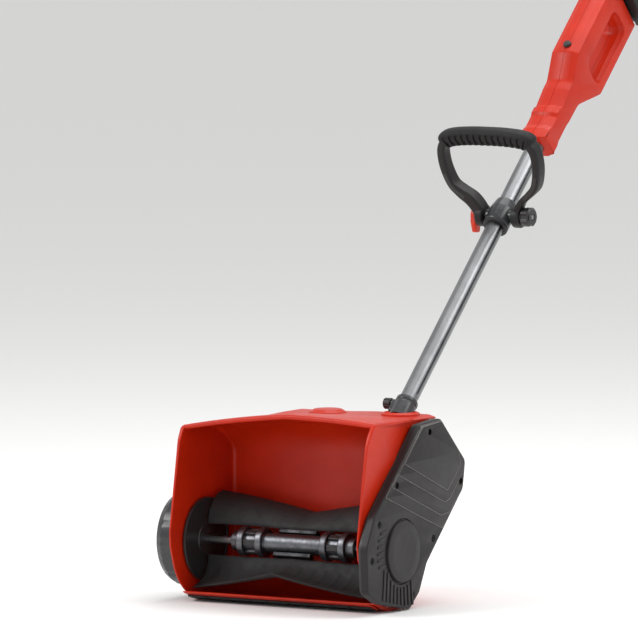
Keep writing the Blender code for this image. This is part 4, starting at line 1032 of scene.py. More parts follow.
# ---------------------------------------------------------------- rear cover
@dataclass
class RearCover:
    """Red cover over the motor, the keel below it with its vents, and the skid under the heel."""

    thickness: float = 0.0025

    def build(self) -> None:
        """Cover from two open-fronted hoods, and the skid."""
        skin = Skin()
        hood = [(0.0835, 0.1708, 0), (0.118, 0.1708, 0.010), (0.1592, 0.112, 0.016), (0.1532, 0.068, 0.014),
                (0.098, 0.0128, 0.006), (0.0835, 0.0050, 0)]
        self.add_hood(skin, hood, -0.0592, 0.1555, 0.012)
        keel = [(0.0990, 0.150, 0), (0.1520, 0.1180, 0.012), (0.1952, -0.040, 0.016),
                (0.1952, -0.0768, 0.004), (0.060, -0.0768, 0)]
        self.add_hood(skin, keel, -0.0545, 0.0545, 0.008, vents=True)
        item = skin.build("rear_cover_shell", RED_ABS, Body.ROOT, ["rear_cover"])
        thick = item.modifiers.new("Wall", "SOLIDIFY")
        thick.thickness = self.thickness
        thick.offset = -1.0
        slats = Skin()
        for index in range(5):
            z = 0.0585 + 0.0120 * index
            y = 0.1500 - 0.27 * (z - 0.0585)
            slat = rounded([(y - 0.012, z + 0.004, 0.001), (y + 0.006, z - 0.0035, 0.001),
                            (y + 0.006, z - 0.0015, 0.001), (y - 0.012, z + 0.006, 0.001)], 4)
            slats.slab(slat, rim(-0.045, 0.045, 0.0008, 0.0008, 2))
        slats.build("vent_slats", BLACK_NYLON, Body.ROOT)
        self.build_skid()

    def add_hood(self, skin: Skin, corners: list, low: float, high: float, soft: float,
                 vents: bool = False) -> None:
        """Open-fronted hood: a line of corners drawn out along x, its ends closed and rounded.

        The line is moved inwards by soft * (1 - cos a) as x runs the last soft * sin a to each end.

        Args:
            skin: where it is added.
            corners: the hood's outline, rows (y, z, rounding).
            low: x of its first end.
            high: x of its last end.
            soft: rounding of its ends.
            vents: whether slots are cut in its back.
        """
        line = rounded(corners, 10, closed=False)
        line = self.spaced(line, 140)
        turn = np.radians(np.linspace(90, 0, 7))
        ends = low + soft * (1 - np.sin(turn))
        middle = np.linspace(low + soft + 0.01, high - soft - 0.01, 9)
        if vents:
            middle = np.arange(-0.044, 0.0441, 0.004)
        x = np.concatenate([ends, middle, (high + low - ends)[::-1]])
        depth = soft * (1 - np.cos(turn))
        depth = np.concatenate([depth, np.zeros(len(middle)), depth[::-1]])
        closed = np.concatenate([line, line[:1]])
        rows = []
        for place, inwards in zip(x, depth):
            moved = inset(closed[:-1], inwards) if inwards else line
            moved[0], moved[-1] = line[0] - [0, inwards], line[-1] + [0, inwards * 0.4]
            rows.append(np.column_stack([np.full(len(moved), place), moved]))
        points = np.stack(rows)
        skip = None
        if vents:
            across, y, z = ((points[:-1, :-1] + points[1:, 1:]) / 2).transpose(2, 0, 1)
            row = (z > 0.0585) & (z < 0.1085) & ((z - 0.0585) % 0.0125 < 0.0060)
            skip = row & (y > 0.120) & (np.abs(across) < 0.0441)
        numbers = skin.grid(points, loop=False, skip=skip)
        skin.lid(numbers[0])
        skin.lid(numbers[-1])

    @staticmethod
    def spaced(line: Array, count: int) -> Array:
        """Spaces points evenly along a line.

        Args:
            line: points (a, b).
            count: how many to make.

        Returns:
            Array of count points (a, b).
        """
        run = np.concatenate([[0], np.cumsum(np.linalg.norm(np.diff(line, axis=0), axis=1))])
        even = np.linspace(0, run[-1], count)
        return np.column_stack([np.interp(even, run, line[:, 0]), np.interp(even, run, line[:, 1])])

    def build_skid(self) -> None:
        """Flat skid with a turned-up heel."""
        skin = Skin(Bench(LEVEL, (0.0, 0.0, 0.0)))
        sole = rounded([(0.0503, 0.0001, 0.001), (0.1955, 0.0001, 0.008), (0.2050, 0.0108, 0.003),
                        (0.2035, 0.0134, 0.001), (0.1955, 0.0040, 0.006), (0.0503, 0.0040, 0.001)])
        skin.slab(sole, rim(-0.0578, 0.0578, 0.0015, 0.0015))
        skin.build("heel_skid_moulding", BLACK_NYLON, Body.ROOT, ["heel_skid"])


# ---------------------------------------------------------------- rotor
@dataclass
class Rotor:
    """Steel shaft and ringed hub with two rubber paddles, their brackets and the end discs."""

    rest: float = math.radians(60.0)
    reach: float = 0.1425
    root: float = 0.0215
    tip: float = 0.0748
    back: float = math.radians(32.0)
    hook: float = math.radians(34.0)

    def paddle_sheet(self, turn: float, radius: Array, x: Array) -> Array:
        """Middle surface: angle = turn + back * |x| / reach - hook * share^1.5, root to tip.

        Args:
            turn: the paddle's angle round the shaft.
            radius: distances from the shaft's axis.
            x: places along it.

        Returns:
            Array of points, shape (..., 3).
        """
        share = np.clip((radius - self.root) / (0.075 - self.root), 0, 1)
        angle = turn + self.back * np.abs(x) / self.reach - self.hook * share ** 1.5
        return np.stack([x, radius * np.cos(angle), radius * np.sin(angle)], axis=-1)

    def build_paddle(self, name: str, turn: float) -> None:
        """Rubber paddle 5 mm thick with a rounded tip and wear ribs across its face.

        Args:
            name: its letter.
            turn: its angle round the shaft.
        """
        x = np.linspace(-self.reach, self.reach, 115)[:, None]
        radius = np.linspace(self.root, self.tip, 31)[None, :]
        x, radius = np.broadcast_arrays(x, radius)
        sheet = self.paddle_sheet(turn, radius, x)
        along = np.gradient(sheet, axis=1)
        across = np.gradient(sheet, axis=0)
        normal = np.cross(along, across)
        normal /= np.linalg.norm(normal, axis=-1, keepdims=True)
        share = (radius - self.root) / (self.tip - self.root)
        edge = np.minimum(np.minimum(share * 8, (1 - share) * 12), (self.reach - np.abs(x)) / 0.003)
        half = 0.0024 * np.sqrt(np.clip(1 - (1 - np.clip(edge, 0, 1)) ** 2, 0.02, 1))
        rib = 0.0008 * smoothstep((np.cos(x * TAU / 0.0190) - 0.55) / 0.25)
        rib = rib * smoothstep((share - 0.25) / 0.1) * smoothstep((0.92 - share) / 0.06)
        front, rear = sheet + normal * (half + rib)[..., None], sheet - normal * half[..., None]
        skin = Skin()
        front_ids = skin.grid(front, loop=False)
        rear_ids = skin.grid(rear, loop=False)
        for a, b in ((front_ids[0], rear_ids[0]), (front_ids[-1], rear_ids[-1]),
                     (front_ids[:, 0], rear_ids[:, 0]), (front_ids[:, -1], rear_ids[:, -1])):
            skin.faces += np.stack([a[:-1], a[1:], b[1:], b[:-1]], axis=1).tolist()
        skin.build(f"paddle_{name}_rubber", BLACK_RUBBER, Body.ROTOR, [f"paddle_{name}"])

    def build_bracket(self, name: str, turn: float) -> None:
        """Pressed foot that holds a paddle on the hub.

        Args:
            name: the paddle's letter.
            turn: the paddle's angle round the shaft.
        """
        skin = Skin(AXLE.spun(turn + math.radians(0.5)))
        foot = box((0.0146, -0.0055), (0.0207, 0.0055), (0.0006, 0.0014, 0.0014, 0.0006), 4)
        skin.slab(foot, rim(-0.030, 0.030, 0.0010, 0.0010, 3))
        skin.build(f"paddle_bracket_{name}_pressing", DARK_STEEL, Body.ROTOR, [f"paddle_bracket_{name}"])

    def build_hub(self) -> None:
        """Hub tube with two pairs of rounded rings and drive keys between them, on its shaft."""
        rows = [(-0.098, 0, 0), (-0.098, 0.0138, 0.0012)]
        for low, high in ((-0.0865, -0.076), (-0.057, -0.0465), (0.0465, 0.057), (0.076, 0.0865)):
            rows += [(low, 0.0138, 0.0008), (low, 0.0204, 0.0018),
                     (high, 0.0204, 0.0018), (high, 0.0138, 0.0008)]
        rows += [(0.098, 0.0138, 0.0012), (0.098, 0, 0)]
        skin = Skin()
        skin.lathe(rounded(rows, 5, closed=False), 72)
        skin.build("rotor_hub_turning", HUB_STEEL, Body.ROTOR, ["rotor_hub"])
        keys = Skin()
        for low, high in ((-0.0755, -0.0575), (0.0575, 0.0755)):
            for index in range(6):
                keys.on(AXLE.spun(TAU * index / 6))
                block = box((0.0130, -0.0045), (0.0178, 0.0045), (0.0005, 0.0012, 0.0012, 0.0005), 3)
                keys.slab(block, rim(low, high, 0.0008, 0.0008, 2))
        keys.build("rotor_hub_keys", BLACK_NYLON, Body.ROTOR, ["rotor_hub"])

    def build_discs(self) -> None:
        """Shaft and the two end discs, each dished with a raised rim."""
        skin = Skin()
        skin.turn([(-0.1718, 0, 0), (-0.1718, 0.0060, 0.0012), (0.1682, 0.0060, 0.0012), (0.1682, 0, 0)],
                  3, 48)
        skin.build("rotor_shaft_turning", STEEL, Body.ROTOR, ["rotor_shaft"])
        for name, side in (("left", -1), ("right", 1)):
            disc = Skin()
            disc.turn([(side * 0.1474, 0.0061, 0), (side * 0.1474, 0.0579, 0.0008),
                       (side * 0.1436, 0.0579, 0.0010), (side * 0.1436, 0.0545, 0.0006),
                       (side * 0.1452, 0.0535, 0.0006), (side * 0.1452, 0.0215, 0.0006),
                       (side * 0.1436, 0.0205, 0.0006), (side * 0.1436, 0.0061, 0)], 4, 96, ring=True)
            disc.build(f"end_disc_{name}_moulding", BLACK_NYLON, Body.ROTOR, [f"end_disc_{name}"])

    def build(self) -> None:
        """Every piece that spins with the shaft."""
        self.build_hub()
        self.build_discs()
        for name, turn in (("a", self.rest), ("b", self.rest + math.pi)):
            self.build_paddle(name, turn)
            self.build_bracket(name, turn)


# ---------------------------------------------------------------- tube and socket
@dataclass
class Pole:
    """Aluminium tube with a groove down each side, its socket on the deck and the locking knob."""

    radius: float = 0.0125
    low: float = -0.0135
    top: float = 0.5596
    groove_side: float = math.radians(74.0)
    groove_half: float = math.radians(8.0)
    groove_depth: float = 0.0030
    knob_t: float = 0.0195

    def build_tube(self) -> None:
        """Radius = R - depth * (inside the groove) * (between the groove's two ends)."""
        count = 288
        angle = np.linspace(0, TAU, count, endpoint=False)[None, :]
        start = np.linspace(0.030, 0.046, 14)
        t = np.concatenate([[self.low], start, np.linspace(0.06, 0.49, 24),
                            np.linspace(0.494, 0.504, 6), [self.top]])[:, None]
        lost = np.zeros((len(t), count))
        for side in (-1, 1):
            away = np.abs((angle - side * self.groove_side + math.pi) % TAU - math.pi)
            run = np.minimum(t - 0.036, 0.502 - t) / (self.groove_half * self.radius * 1.6)
            width = np.sqrt(np.clip(1 - (1 - np.clip(run, 0, 1)) ** 2, 0, 1))
            lost += smoothstep((self.groove_half * width - away) / math.radians(2.5) + 0.5) * (run > 0)
        radius = self.radius - 0.0001 - self.groove_depth * np.clip(lost, 0, 1)
        x = radius * np.sin(angle)
        y = -radius * np.cos(angle)
        skin = Skin(TUBE)
        numbers = skin.grid(np.stack([x, y, np.broadcast_to(t, x.shape)], axis=-1))
        skin.lid(numbers[0])
        skin.lid(numbers[-1])
        skin.build("handle_tube_extrusion", TUBE_METAL, Body.ROOT, ["handle_tube"], crisp=40)

    def build_socket(self) -> None:
        """Collar with a slanted rim and clamp lug on a red raised pad."""
        foot = TUBE.origin
        pad = Skin(Bench(UPRIGHT, (foot[0], foot[1], foot[2])))
        pad.turn([(-0.002, 0, 0), (-0.002, 0.0268, 0), (0.0022, 0.0268, 0.0012), (0.0042, 0.0235, 0.0015),
                  (0.0042, 0, 0)], 5, 96)
        pad.build("socket_pad", RED_ABS, Body.ROOT, ["tube_socket"])
        skin = Skin(TUBE.lathed())
        skin.turn([(-0.008, 0, 0), (-0.008, 0.0156, 0), (0.0150, 0.0156, 0.002), (0.0165, 0.0148, 0.001),
                   (0.0185, 0.0148, 0.001), (0.0200, 0.0158, 0.001), (0.0250, 0.0158, 0.0012),
                   (0.0260, 0.0140, 0.0006), (0.0255, 0.0126, 0), (0.0200, 0, 0)], 5, 96)
        skin.on(TUBE)
        skin.turn([(-0.0215, 0, 0), (-0.0215, 0.0064, 0.0010), (-0.010, 0.0064, 0), (-0.010, 0, 0)],
                  4, 48, (0.0, self.knob_t))
        base = box((-0.0065, 0.003), (0.0065, self.knob_t), 0.002, 4)
        skin.slab(base, rim(-0.0200, -0.0120, 0.0015, 0.0))
        skin.build("tube_socket_moulding", GLOSS_NYLON, Body.ROOT, ["tube_socket"])

    def build_knob(self) -> None:
        """Locking knob with twelve grip flutes and a bright pin."""
        skin = Skin(TUBE)
        skin.turn([(-0.0334, 0, 0), (-0.0334, 0.0066, 0.0012), (-0.0325, 0.0078, 0.0006),
                   (-0.0228, 0.0078, 0.0006), (-0.0222, 0.0070, 0.0004), (-0.0222, 0, 0)], 4,
                  96, (0.0, self.knob_t), ripple=lambda x, a: 0.0007 * smoothstep(np.cos(12 * a) / 0.5)
                   * ((x > -0.0330) & (x < -0.0225)))
        skin.build("socket_knob_moulding", BLACK_NYLON, Body.SOCKET_KNOB, ["socket_knob"])
        pin = Skin(TUBE)
        pin.turn([(-0.0224, 0, 0), (-0.0224, 0.0027, 0), (-0.0135, 0.0027, 0.0004), (-0.0135, 0, 0)], 3,
                 32, (0.0, self.knob_t))
        pin.build("socket_knob_pin", STEEL, Body.SOCKET_KNOB, ["socket_knob"])

    def build(self) -> None:
        """Tube, socket and knob."""
        self.build_tube()
        self.build_socket()
        self.build_knob()


# ---------------------------------------------------------------- bail handle
@dataclass
class Bail:
    """Loop handle on a clamp that slides along the tube, with its cam lever and hand knob."""

    grip_s: float = 0.120
    thick: float = 0.0128
    depth: float = 0.0216
    rib_pitch: float = 0.0098
    line: tuple = ((0.0295, 0.0), (0.0310, 0.010), (0.0400, 0.0240), (0.0550, 0.0360), (0.0665, 0.0480),
                   (0.0732, 0.0690), (0.0748, 0.0880), (0.0726, 0.1025), (0.0655, 0.1128), (0.0530, 0.1172),
                   (0.0270, 0.1196))

    def middle_line(self) -> Array:
        """Smooth line from one eye over the grip to the other, in the bail's own plane.

        Returns:
            Array of points (x, s).
        """
        arm = [(-x, s) for x, s in self.line]
        return smooth_line(arm + [(0.0, self.grip_s)] + [(x, s) for x, s in self.line][::-1], 10)

    @staticmethod
    def soft_box(depth: Array, width: Array, power: float = 5.0, count: int = 48) -> Array:
        """Superellipse |2d/D|^n + |2w/W|^n = 1.

        Args:
            depth: D of each section.
            width: W of each section.
            power: n, which makes the corners squarer as it grows.
            count: points in a section.

        Returns:
            Array of points (depth, width), shape (sections, count, 2).
        """
        angle = np.linspace(0, TAU, count, endpoint=False)
        c, s = np.cos(angle), np.sin(angle)
        shape = 1 / (np.abs(c) ** power + np.abs(s) ** power) ** (1 / power)
        return np.stack([np.multiply.outer(depth / 2, c * shape),
                         np.multiply.outer(width / 2, s * shape)], axis=-1)

    def build_loop(self) -> None:
        """Band whose arms deepen towards the eyes, with bosses and recessed panels."""
        line = self.middle_line()
        run = np.linspace(-1, 1, len(line))
        low = smoothstep((np.abs(run) - 0.62) / 0.22) * smoothstep((1.02 - np.abs(run)) / 0.10)
        width = self.thick * (0.92 + np.where(run < 0, 0.50, -0.22) * low)
        sections = self.soft_box(np.full(len(line), self.depth), width)
        skin = Skin(BAIL)
        skin.sweep(line, sections)
        for side in (-1, 1):
            skin.turn([(side * 0.0232, 0, 0), (side * 0.0232, 0.0158, 0.0015),
                       (side * 0.0345, 0.0158, 0.0030), (side * 0.0358, 0.0120, 0.0012),
                       (side * 0.0358, 0, 0)], 5, 72)
        skin.build("bail_loop", BAIL_NYLON, Body.BAIL, ["bail_handle"])
        panel = Skin(BAIL)
        for side in (-1, 1):
            chosen = line[(side * line[:, 0] > 0.040) & (line[:, 1] < 0.066) & (line[:, 1] > 0.030)]
            strip = self.soft_box(np.full(len(chosen), 0.0008), np.full(len(chosen), 0.0046), 3.0, 24)
            strip[..., 0] -= self.depth / 2
            panel.sweep(chosen, strip)
        panel.build("bail_panels", BLACK_NYLON, Body.BAIL)

    def build_grip(self) -> None:
        """Rubber grip: a soft band round the loop whose front and underside are cut by slanted slots.

        Radius loss = slot depth * pulses along the line * mask on the front and underside.
        """
        line = self.middle_line()
        keep = line[:, 1] > 0.1085
        line = RearCover.spaced(line[keep], 330)
        run = np.concatenate([[0], np.cumsum(np.linalg.norm(np.diff(line, axis=0), axis=1))])
        count = 72
        angle = np.linspace(0, TAU, count, endpoint=False)
        ends = np.minimum(run, run[-1] - run)
        grow = 0.66 + 0.34 * np.sqrt(np.clip(1 - (1 - np.clip(ends / 0.006, 0, 1)) ** 2, 0, 1))
        section = self.soft_box(np.array([0.0258]), np.array([0.0252]), 2.6, count)[0]
        shape = section[None] * grow[:, None, None]
        phase = (run[:, None] + 0.0018 * np.sin(angle)[None, :]) / self.rib_pitch
        pulse = smoothstep((np.cos(TAU * phase) + 0.10) / 0.35)
        front = smoothstep((-np.cos(angle) + 0.55) / 0.3) * smoothstep((0.55 - np.sin(angle)) / 0.35)
        near = smoothstep((ends - 0.005) / 0.003)
        loss = 0.24 * pulse * front[None, :] * near[:, None]
        skin = Skin(BAIL)
        skin.sweep(line, shape * (1 - loss)[..., None])
        skin.build("bail_grip_sleeve", GRIP_RUBBER, Body.BAIL, ["bail_grip"])

    def build_clamp(self) -> None:
        """Sleeve on the tube: tapered top, black lower ring and trunnions."""
        bench = Bench(TUBE.lathed().axes, PIVOT)
        skin = Skin(bench)
        skin.turn([(-0.0190, 0, 0), (-0.0190, 0.0172, 0.0005), (-0.0165, 0.0182, 0.001),
                   (0.0070, 0.0184, 0.004), (0.0190, 0.0160, 0.003), (0.0228, 0.0150, 0.0014),
                   (0.0228, 0.0128, 0), (0.0180, 0, 0)], 6, 96)
        skin.on(HANGER)
        for side in (-1, 1):
            skin.turn([(side * 0.010, 0, 0), (side * 0.010, 0.0094, 0), (side * 0.0212, 0.0094, 0.0008),
                       (side * 0.0224, 0.0080, 0.0004), (side * 0.0224, 0, 0)], 4, 56)
        skin.build("clamp_sleeve_moulding", GLOSS_NYLON, Body.CLAMP, ["clamp_sleeve"])
        ring = Skin(bench)
        ring.turn([(-0.0228, 0.0128, 0), (-0.0228, 0.0176, 0.0008), (-0.0185, 0.0182, 0.0008),
                   (-0.0185, 0.0128, 0)], 4, 96, ring=True)
        ring.build("clamp_ring", RING_NYLON, Body.CLAMP, ["clamp_sleeve"])

    def build_lever(self) -> None:
        """Red cam lever: a thumb blade with a rolled tip on the cam's pin."""
        skin = Skin(HANGER)
        blade = rounded([(-0.0084, 0.0084, 0.0070), (0.0084, 0.0084, 0.0070), (0.0084, -0.0100, 0.006),
                         (0.0062, -0.0248, 0.003), (-0.0032, -0.0248, 0.003), (-0.0084, -0.0100, 0.006)], 8)
        skin.slab(blade, rim(-0.0449, -0.0366, 0.0022, 0.0012, 5))
        skin.turn([(-0.0375, 0, 0), (-0.0375, 0.0031, 0), (-0.0192, 0.0031, 0.0004), (-0.0192, 0, 0)],
                  3, 32)
        skin.build("cam_lever_moulding", LEVER_ABS, Body.CAM_LEVER, ["cam_lever"])

    def build_knob(self) -> None:
        """Hand knob with four lobes and a recessed bolt head."""
        skin = Skin(HANGER)
        skin.turn([(0.0367, 0, 0), (0.0367, 0.0118, 0.001), (0.0385, 0.0143, 0.0015),
                   (0.0490, 0.0143, 0.0022), (0.0518, 0.0110, 0.0018), (0.0518, 0.0055, 0.0006),
                   (0.0500, 0.0050, 0.0004), (0.0500, 0, 0)], 5,
                  112, ripple=lambda x, a: 0.0030 * smoothstep((np.cos(4 * a) + 0.2) / 1.1)
                   * ((x > 0.0370) & (x < 0.0517)))
        skin.build("clamp_knob_moulding", BLACK_NYLON, Body.CLAMP_KNOB, ["clamp_knob"])
        pin = Skin(HANGER)
        pin.turn([(0.0192, 0, 0), (0.0192, 0.0030, 0.0004), (0.0365, 0.0030, 0), (0.0365, 0, 0)], 3, 32)
        pin.turn([(0.0495, 0, 0), (0.0495, 0.0040, 0.0004), (0.0512, 0.0040, 0.0006), (0.0512, 0, 0)], 3, 6)
        pin.build("clamp_bolt", STEEL, Body.CLAMP_KNOB, ["clamp_knob"])

    def build(self) -> None:
        """Every piece of the bail and its clamp."""
        self.build_loop()
        self.build_grip()
        self.build_clamp()
        self.build_lever()
        self.build_knob()


# ---------------------------------------------------------------- rear handle
@dataclass
class RearHandle:
    """Two red shells that meet at mid width, with trigger, lock-off button, soft grip and screws."""

    half: float = 0.0215
    front: float = 0.508
    rear: float = 0.800
    gap: tuple = ((-0.004, 0.665), (0.037, 0.770))
    screws: tuple = ((0.046, 0.655), (0.046, 0.775), (-0.024, 0.785), (-0.0125, 0.590))
    lock_t: float = 0.668

    def outline(self) -> Array:
        """Side view: a neck round the tube and a closed loop behind it.

        Returns:
            Array of points (y, distance along the tube).
        """
        above = [(-0.0200, self.front, 0.002), (-0.0200, 0.526, 0.003), (-0.0172, 0.534, 0.004),
                 (-0.0172, 0.552, 0.003), (-0.0198, 0.557, 0.002), (-0.0198, 0.568, 0.002),
                 (-0.0168, 0.572, 0.003), (-0.0194, 0.594, 0.006), (-0.0206, 0.602, 0.004),
                 (-0.0206, 0.617, 0.016), (-0.0398, 0.655, 0.012), (-0.0398, self.rear, 0.006)]
        below = [(0.0558, self.rear, 0.006), (0.0558, 0.660, 0.016), (0.0206, 0.606, 0.020),
                 (0.0194, 0.572, 0.004), (0.0178, 0.562, 0.004), (0.0178, 0.534, 0.004),
                 (0.0200, 0.526, 0.003), (0.0200, self.front, 0.002)]
        return rounded(above + below, 8)

    def finger_gap(self) -> Array:
        """The loop's opening."""
        (y0, t0), (y1, t1) = self.gap
        return box((y0, t0), (y1, t1), 0.012, 10)

    def build_shells(self) -> None:
        """Shells with deeply rounded edges, a collar at the neck, and a raised panel on each side."""
        for name, side in (("left", -1), ("right", 1)):
            skin = Skin(TUBE)
            chamfer = rim(side * 0.0140, side * self.half, 0.0, 0.0016, 3) + [0, 0.0030]
            levels = np.concatenate([[(side * 0.00025, 0.0), (side * 0.0128, 0.0), (side * 0.0140, 0.0006)],
                                     [(side * 0.0178, 0.0024)], chamfer[1:]])
            skin.slab(self.outline(), levels, [self.finger_gap()])
            panel = rounded([(-0.0090, 0.578, 0.003), (-0.0100, 0.618, 0.02), (-0.0300, 0.655, 0.010),
                             (-0.0300, 0.700, 0.006), (-0.0150, 0.700, 0.006), (-0.0080, 0.640, 0.02),
                             (0.0110, 0.606, 0.010), (0.0100, 0.578, 0.003)], 8)
            skin.slab(panel, rim(side * 0.0180, side * (self.half - 0.0001), 0.0, 0.0010, 4))
            skin.build(f"handle_shell_{name}_moulding", RED_ABS, Body.ROOT, [f"handle_shell_{name}"])
        for number, (y, t) in enumerate(self.screws, 1):
            screw = Skin(TUBE)
            side = -1.0
            screw.turn([(side * -0.0120, 0, 0), (side * -0.0120, 0.0013, 0), (side * 0.0188, 0.0013, 0),
                        (side * 0.0188, 0.0031, 0.0002), (side * 0.0208, 0.0031, 0.0010),
                        (side * 0.0214, 0.0014, 0.0003), (side * 0.0200, 0.0013, 0.0001),
                        (side * 0.0200, 0, 0)], 3, 36, (y, t))
            screw.build(f"handle_screw_head_{number}", DARK_STEEL, Body.ROOT, [f"handle_screw_{number}"])

    def build_soft_grip(self) -> None:
        """Rubber overmoulding round the loop's grip bar, with ribs under the fingers."""
        skin = Skin(TUBE)
        pad = box((-0.0345, 0.712), (-0.0105, 0.792), 0.006, 6)
        for side in (-1, 1):
            skin.slab(pad, rim(side * 0.019, side * (self.half - 0.0009), 0.0, 0.0008, 3))
            for index in range(7):
                t = 0.7205 + 0.0105 * index
                rib = box((-0.0325, t), (-0.0125, t + 0.0048), 0.0012, 3)
                skin.slab(rib, rim(side * 0.020, side * (self.half - 0.0001), 0.0, 0.0008, 3))
        skin.build("handle_soft_grip", GRIP_RUBBER, Body.ROOT)

    def build_controls(self) -> None:
        """Trigger, and the domed lock-off button."""
        y, t = -0.014, 0.680
        skin = Skin(TUBE)
        blade = rounded([(y - 0.0048, t - 0.0003, 0.002), (y - 0.0048, t + 0.0358, 0.002),
                         (y + 0.008, t + 0.0392, 0.002), (0.0078, t + 0.0378, 0.004),
                         (0.0004, t + 0.018, 0.010), (-0.0042, t - 0.0003, 0.001)], 8)
        skin.slab(blade, rim(-0.0074, 0.0074, 0.0024, 0.0024, 5))
        skin.build("trigger_moulding", BLACK_NYLON, Body.TRIGGER, ["trigger"])
        spot = TUBE.moved(0, 0, self.lock_t)
        button = Skin(Bench((TUBE.axes[1], TUBE.axes[0], TUBE.axes[2]), spot.origin))
        button.turn([(-0.0439, 0, 0), (-0.0439, 0.0045, 0.0008), (-0.0425, 0.0057, 0.0010),
                     (-0.0335, 0.0057, 0), (-0.0335, 0.0078, 0.0004), (-0.0316, 0.0078, 0.0004),
                     (-0.0316, 0, 0)], 5, 72)
        button.build("lock_button_moulding", BLACK_NYLON, Body.LOCK_BUTTON, ["lock_button"])

    def build(self) -> None:
        """Every piece of the rear handle."""
        self.build_shells()
        self.build_soft_grip()
        self.build_controls()


# ---------------------------------------------------------------- battery
@dataclass
class Battery:
    """Slide-on battery: case with side ribs, lid, latch, and the rail that it hangs on."""

    half: float = 0.037
    base: float = 0.800
    end: float = 0.862
    low: float = -0.048
    high: float = 0.060

    def build(self) -> None:
        """Case, lid, latch and rail."""
        skin = Skin(TUBE)
        face = self.base + 0.0017
        shape = box((self.low, face), (self.high, self.end - 0.0042), (0.003, 0.003, 0.002, 0.002), 8)
        skin.slab(shape, rim(-self.half + 0.0002, -0.0188, 0.0045, 0.0, 6))
        skin.slab(shape, rim(0.0188, self.half - 0.0002, 0.0, 0.0045, 6))
        core = box((self.low + 0.0001, face + 0.0088), (self.high - 0.0002, self.end - 0.0042),
                   (0.001, 0.001, 0.002, 0.002), 6)
        skin.slab(core, rim(-0.0190, 0.0190, 0.0, 0.0))
        for side in (-1, 1):
            for index in range(5):
                y = -0.030 + 0.0150 * index
                bar = box((y, face + 0.012), (y + 0.0080, self.end - 0.012), 0.002, 5)
                skin.slab(bar, rim(side * (self.half - 0.002), side * self.half, 0.0, 0.0009, 3))
        skin.build("battery_case_shell", CHARCOAL_ABS, Body.BATTERY, ["battery_case"])
        lid = Skin(TUBE.lathed())
        half = self.half - 0.0002
        plan = box((-half, self.low + 0.0002), (half, self.high - 0.0002), 0.006)
        lid.slab(plan, rim(self.end - 0.0038, self.end - 0.0004, 0.0004, 0.0024, 5))
        lid.slab(inset(plan, 0.012), rim(self.end - 0.003, self.end, 0.0, 0.0006, 3))
        lid.build("battery_lid_moulding", CHARCOAL_ABS, Body.BATTERY, ["battery_lid"])
        self.build_latch()

    def build_latch(self) -> None:
        """Red latch button with three thumb ridges, and the rail in black."""
        latch = Skin(TUBE)
        key = box((self.high - 0.0050, self.base + 0.0282), (self.high + 0.0022, self.base + 0.0398),
                  (0.001, 0.0012, 0.0012, 0.001), 5)
        latch.slab(key, rim(-0.0098, 0.0098, 0.0014, 0.0014, 4))
        for index in range(3):
            t = self.base + 0.0306 + 0.0030 * index
            ridge = box((self.high + 0.001, t), (self.high + 0.0029, t + 0.0014),
                        (0.0004, 0.0006, 0.0006, 0.0004), 3)
            latch.slab(ridge, rim(-0.0075, 0.0075, 0.0008, 0.0008, 3))
        flange = box((self.high - 0.0054, self.base + 0.0262), (self.high - 0.0031, self.base + 0.0418),
                     0.0006, 3)
        latch.slab(flange, rim(-0.0128, 0.0128, 0.0008, 0.0008, 3))
        latch.build("battery_latch_moulding", LEVER_ABS, Body.BATTERY_LATCH, ["battery_latch"])
        rail = Skin(TUBE)
        web = box((-0.0378, self.base + 0.0004), (0.0518, self.base + 0.0045),
                  (0.0008, 0.0008, 0.0003, 0.0003), 3)
        rail.slab(web, rim(-0.0098, 0.0098, 0.0004, 0.0004, 2))
        lips = box((-0.0378, self.base + 0.0041), (0.0518, self.base + 0.0079), 0.0008, 3)
        rail.slab(lips, rim(-0.0178, 0.0178, 0.0008, 0.0008, 2))
        rail.build("battery_rail_moulding", BLACK_NYLON, Body.ROOT, ["battery_rail"])


# ---------------------------------------------------------------- pieces carried over
CARRIED = {
    STEEL: ("bearing_left", "bearing_right", "motor_can", "motor_flange", "motor_shaft", "drive_pulley",
            "idler_roller", "idler_pin", "heat_sink"),
    BLACK_NYLON: ("driven_pulley", "motor_end_bell", "switch"),
    BLACK_RUBBER: ("drive_belt", "power_cable"),
    COPPER: ("armature",),
    BOARD: ("control_board",),
    SLEEVE: ("battery_cells",),
}


def dress_carried() -> None:
    """Gives the inner pieces, kept as they are, their finishes."""
    for finish, names in CARRIED.items():
        for name in names:
            item = frame["nodes"][name]
            item.data.materials.clear()
            item.data.materials.append(dress(finish))
            LOG.info("dressed %s", name)


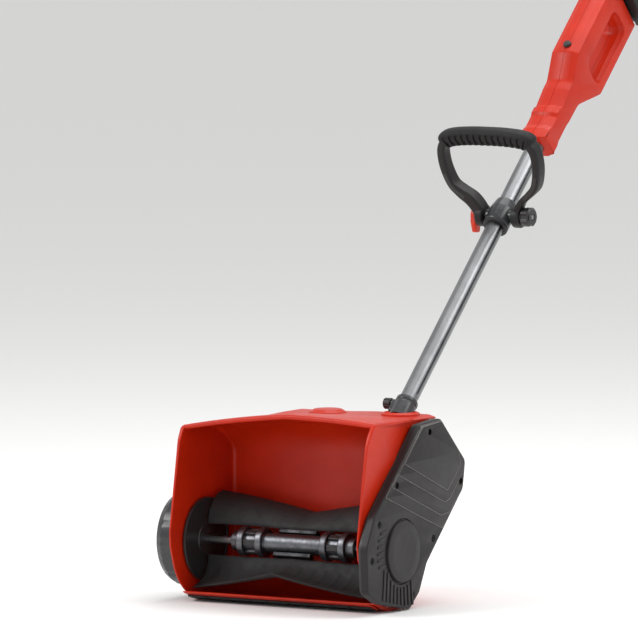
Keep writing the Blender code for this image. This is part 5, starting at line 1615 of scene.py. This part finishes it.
# ---------------------------------------------------------------- studio
@dataclass
class Studio:
    """Pale floor, soft lights and the camera."""

    target: tuple = (-0.084, 0.200, 0.380)
    azimuth: float = math.radians(31.0)
    elevation: float = math.radians(5.0)
    distance: float = 14.0
    lens: float = 568.0
    light_aim: tuple = (0.0, 0.1, 0.25)
    room_light: float = 0.72
    floor_half: float = 60.0

    def build_floor(self) -> None:
        """Wide matt floor of pale board."""
        mesh = bpy.data.meshes.new("floor")
        side = np.array([(-1, -1), (1, -1), (1, 1), (-1, 1)]) * self.floor_half
        mesh.from_pydata(np.column_stack([side, np.full(4, -0.0002)]).tolist(), [], [(0, 1, 2, 3)])
        material = bpy.data.materials.new("Pale matt board")
        material.use_nodes = True
        shader = material.node_tree.nodes["Principled BSDF"]
        shader.inputs["Base Color"].default_value = linear("#F4F4F3")
        shader.inputs["Roughness"].default_value = 0.85
        mesh.materials.append(material)
        floor = bpy.data.objects.new("floor", mesh)
        bpy.context.scene.collection.objects.link(floor)

    def add_light(self, name: str, place: tuple, size: tuple, power: float) -> None:
        """Adds one soft box that faces the machine.

        Args:
            name: its name.
            place: where it hangs.
            size: its two sides.
            power: its watts.
        """
        data = bpy.data.lights.new(name, "AREA")
        data.shape = "RECTANGLE"
        data.size, data.size_y = size
        data.energy = power
        item = bpy.data.objects.new(name, data)
        item.location = place
        aim = Vector(self.light_aim) - Vector(place)
        item.rotation_euler = aim.to_track_quat("-Z", "Y").to_euler()
        bpy.context.scene.collection.objects.link(item)

    def build_lights(self) -> None:
        """Large key from the front left, a strip from the right, a top box and a pale room."""
        self.add_light("key_softbox", (-1.9, -2.2, 2.4), (1.5, 1.5), 52)
        self.add_light("right_softbox", (1.9, 0.9, 2.6), (0.8, 1.6), 26)
        self.add_light("top_box", (0.1, 0.9, 2.9), (2.0, 2.0), 34)
        world = bpy.data.worlds.new("pale_room")
        world.use_nodes = True
        world.node_tree.nodes["Background"].inputs["Color"].default_value = linear("#FFFFFF")
        world.node_tree.nodes["Background"].inputs["Strength"].default_value = self.room_light
        bpy.context.scene.world = world
        bpy.context.scene.view_settings.view_transform = "Standard"

    def build_camera(self) -> None:
        """Camera on a sphere about the target."""
        data = bpy.data.cameras.new("camera")
        data.lens = self.lens
        data.sensor_width = 36.0
        data.clip_end = 300.0
        item = bpy.data.objects.new("camera", data)
        out = Vector((math.sin(self.azimuth) * math.cos(self.elevation),
                      -math.cos(self.azimuth) * math.cos(self.elevation), math.sin(self.elevation)))
        item.location = Vector(self.target) + out * self.distance
        item.rotation_euler = (-out).to_track_quat("-Z", "Y").to_euler()
        bpy.context.scene.collection.objects.link(item)
        bpy.context.scene.camera = item


def main() -> None:
    """Builds the studio and every piece, and dresses the pieces carried over."""
    logging.basicConfig(level=logging.INFO, format="%(name)s: %(message)s")
    studio = Studio()
    studio.build_camera()
    studio.build_floor()
    studio.build_lights()
    scoop = Scoop()
    scoop.build_shell()
    scoop.build_lip()
    scoop.build_collar()
    scoop.build_cap()
    BeltCase().build()
    RearCover().build()
    Rotor().build()
    Pole().build()
    Bail().build()
    RearHandle().build()
    Battery().build()
    dress_carried()


if __name__ == "__main__":
    main()
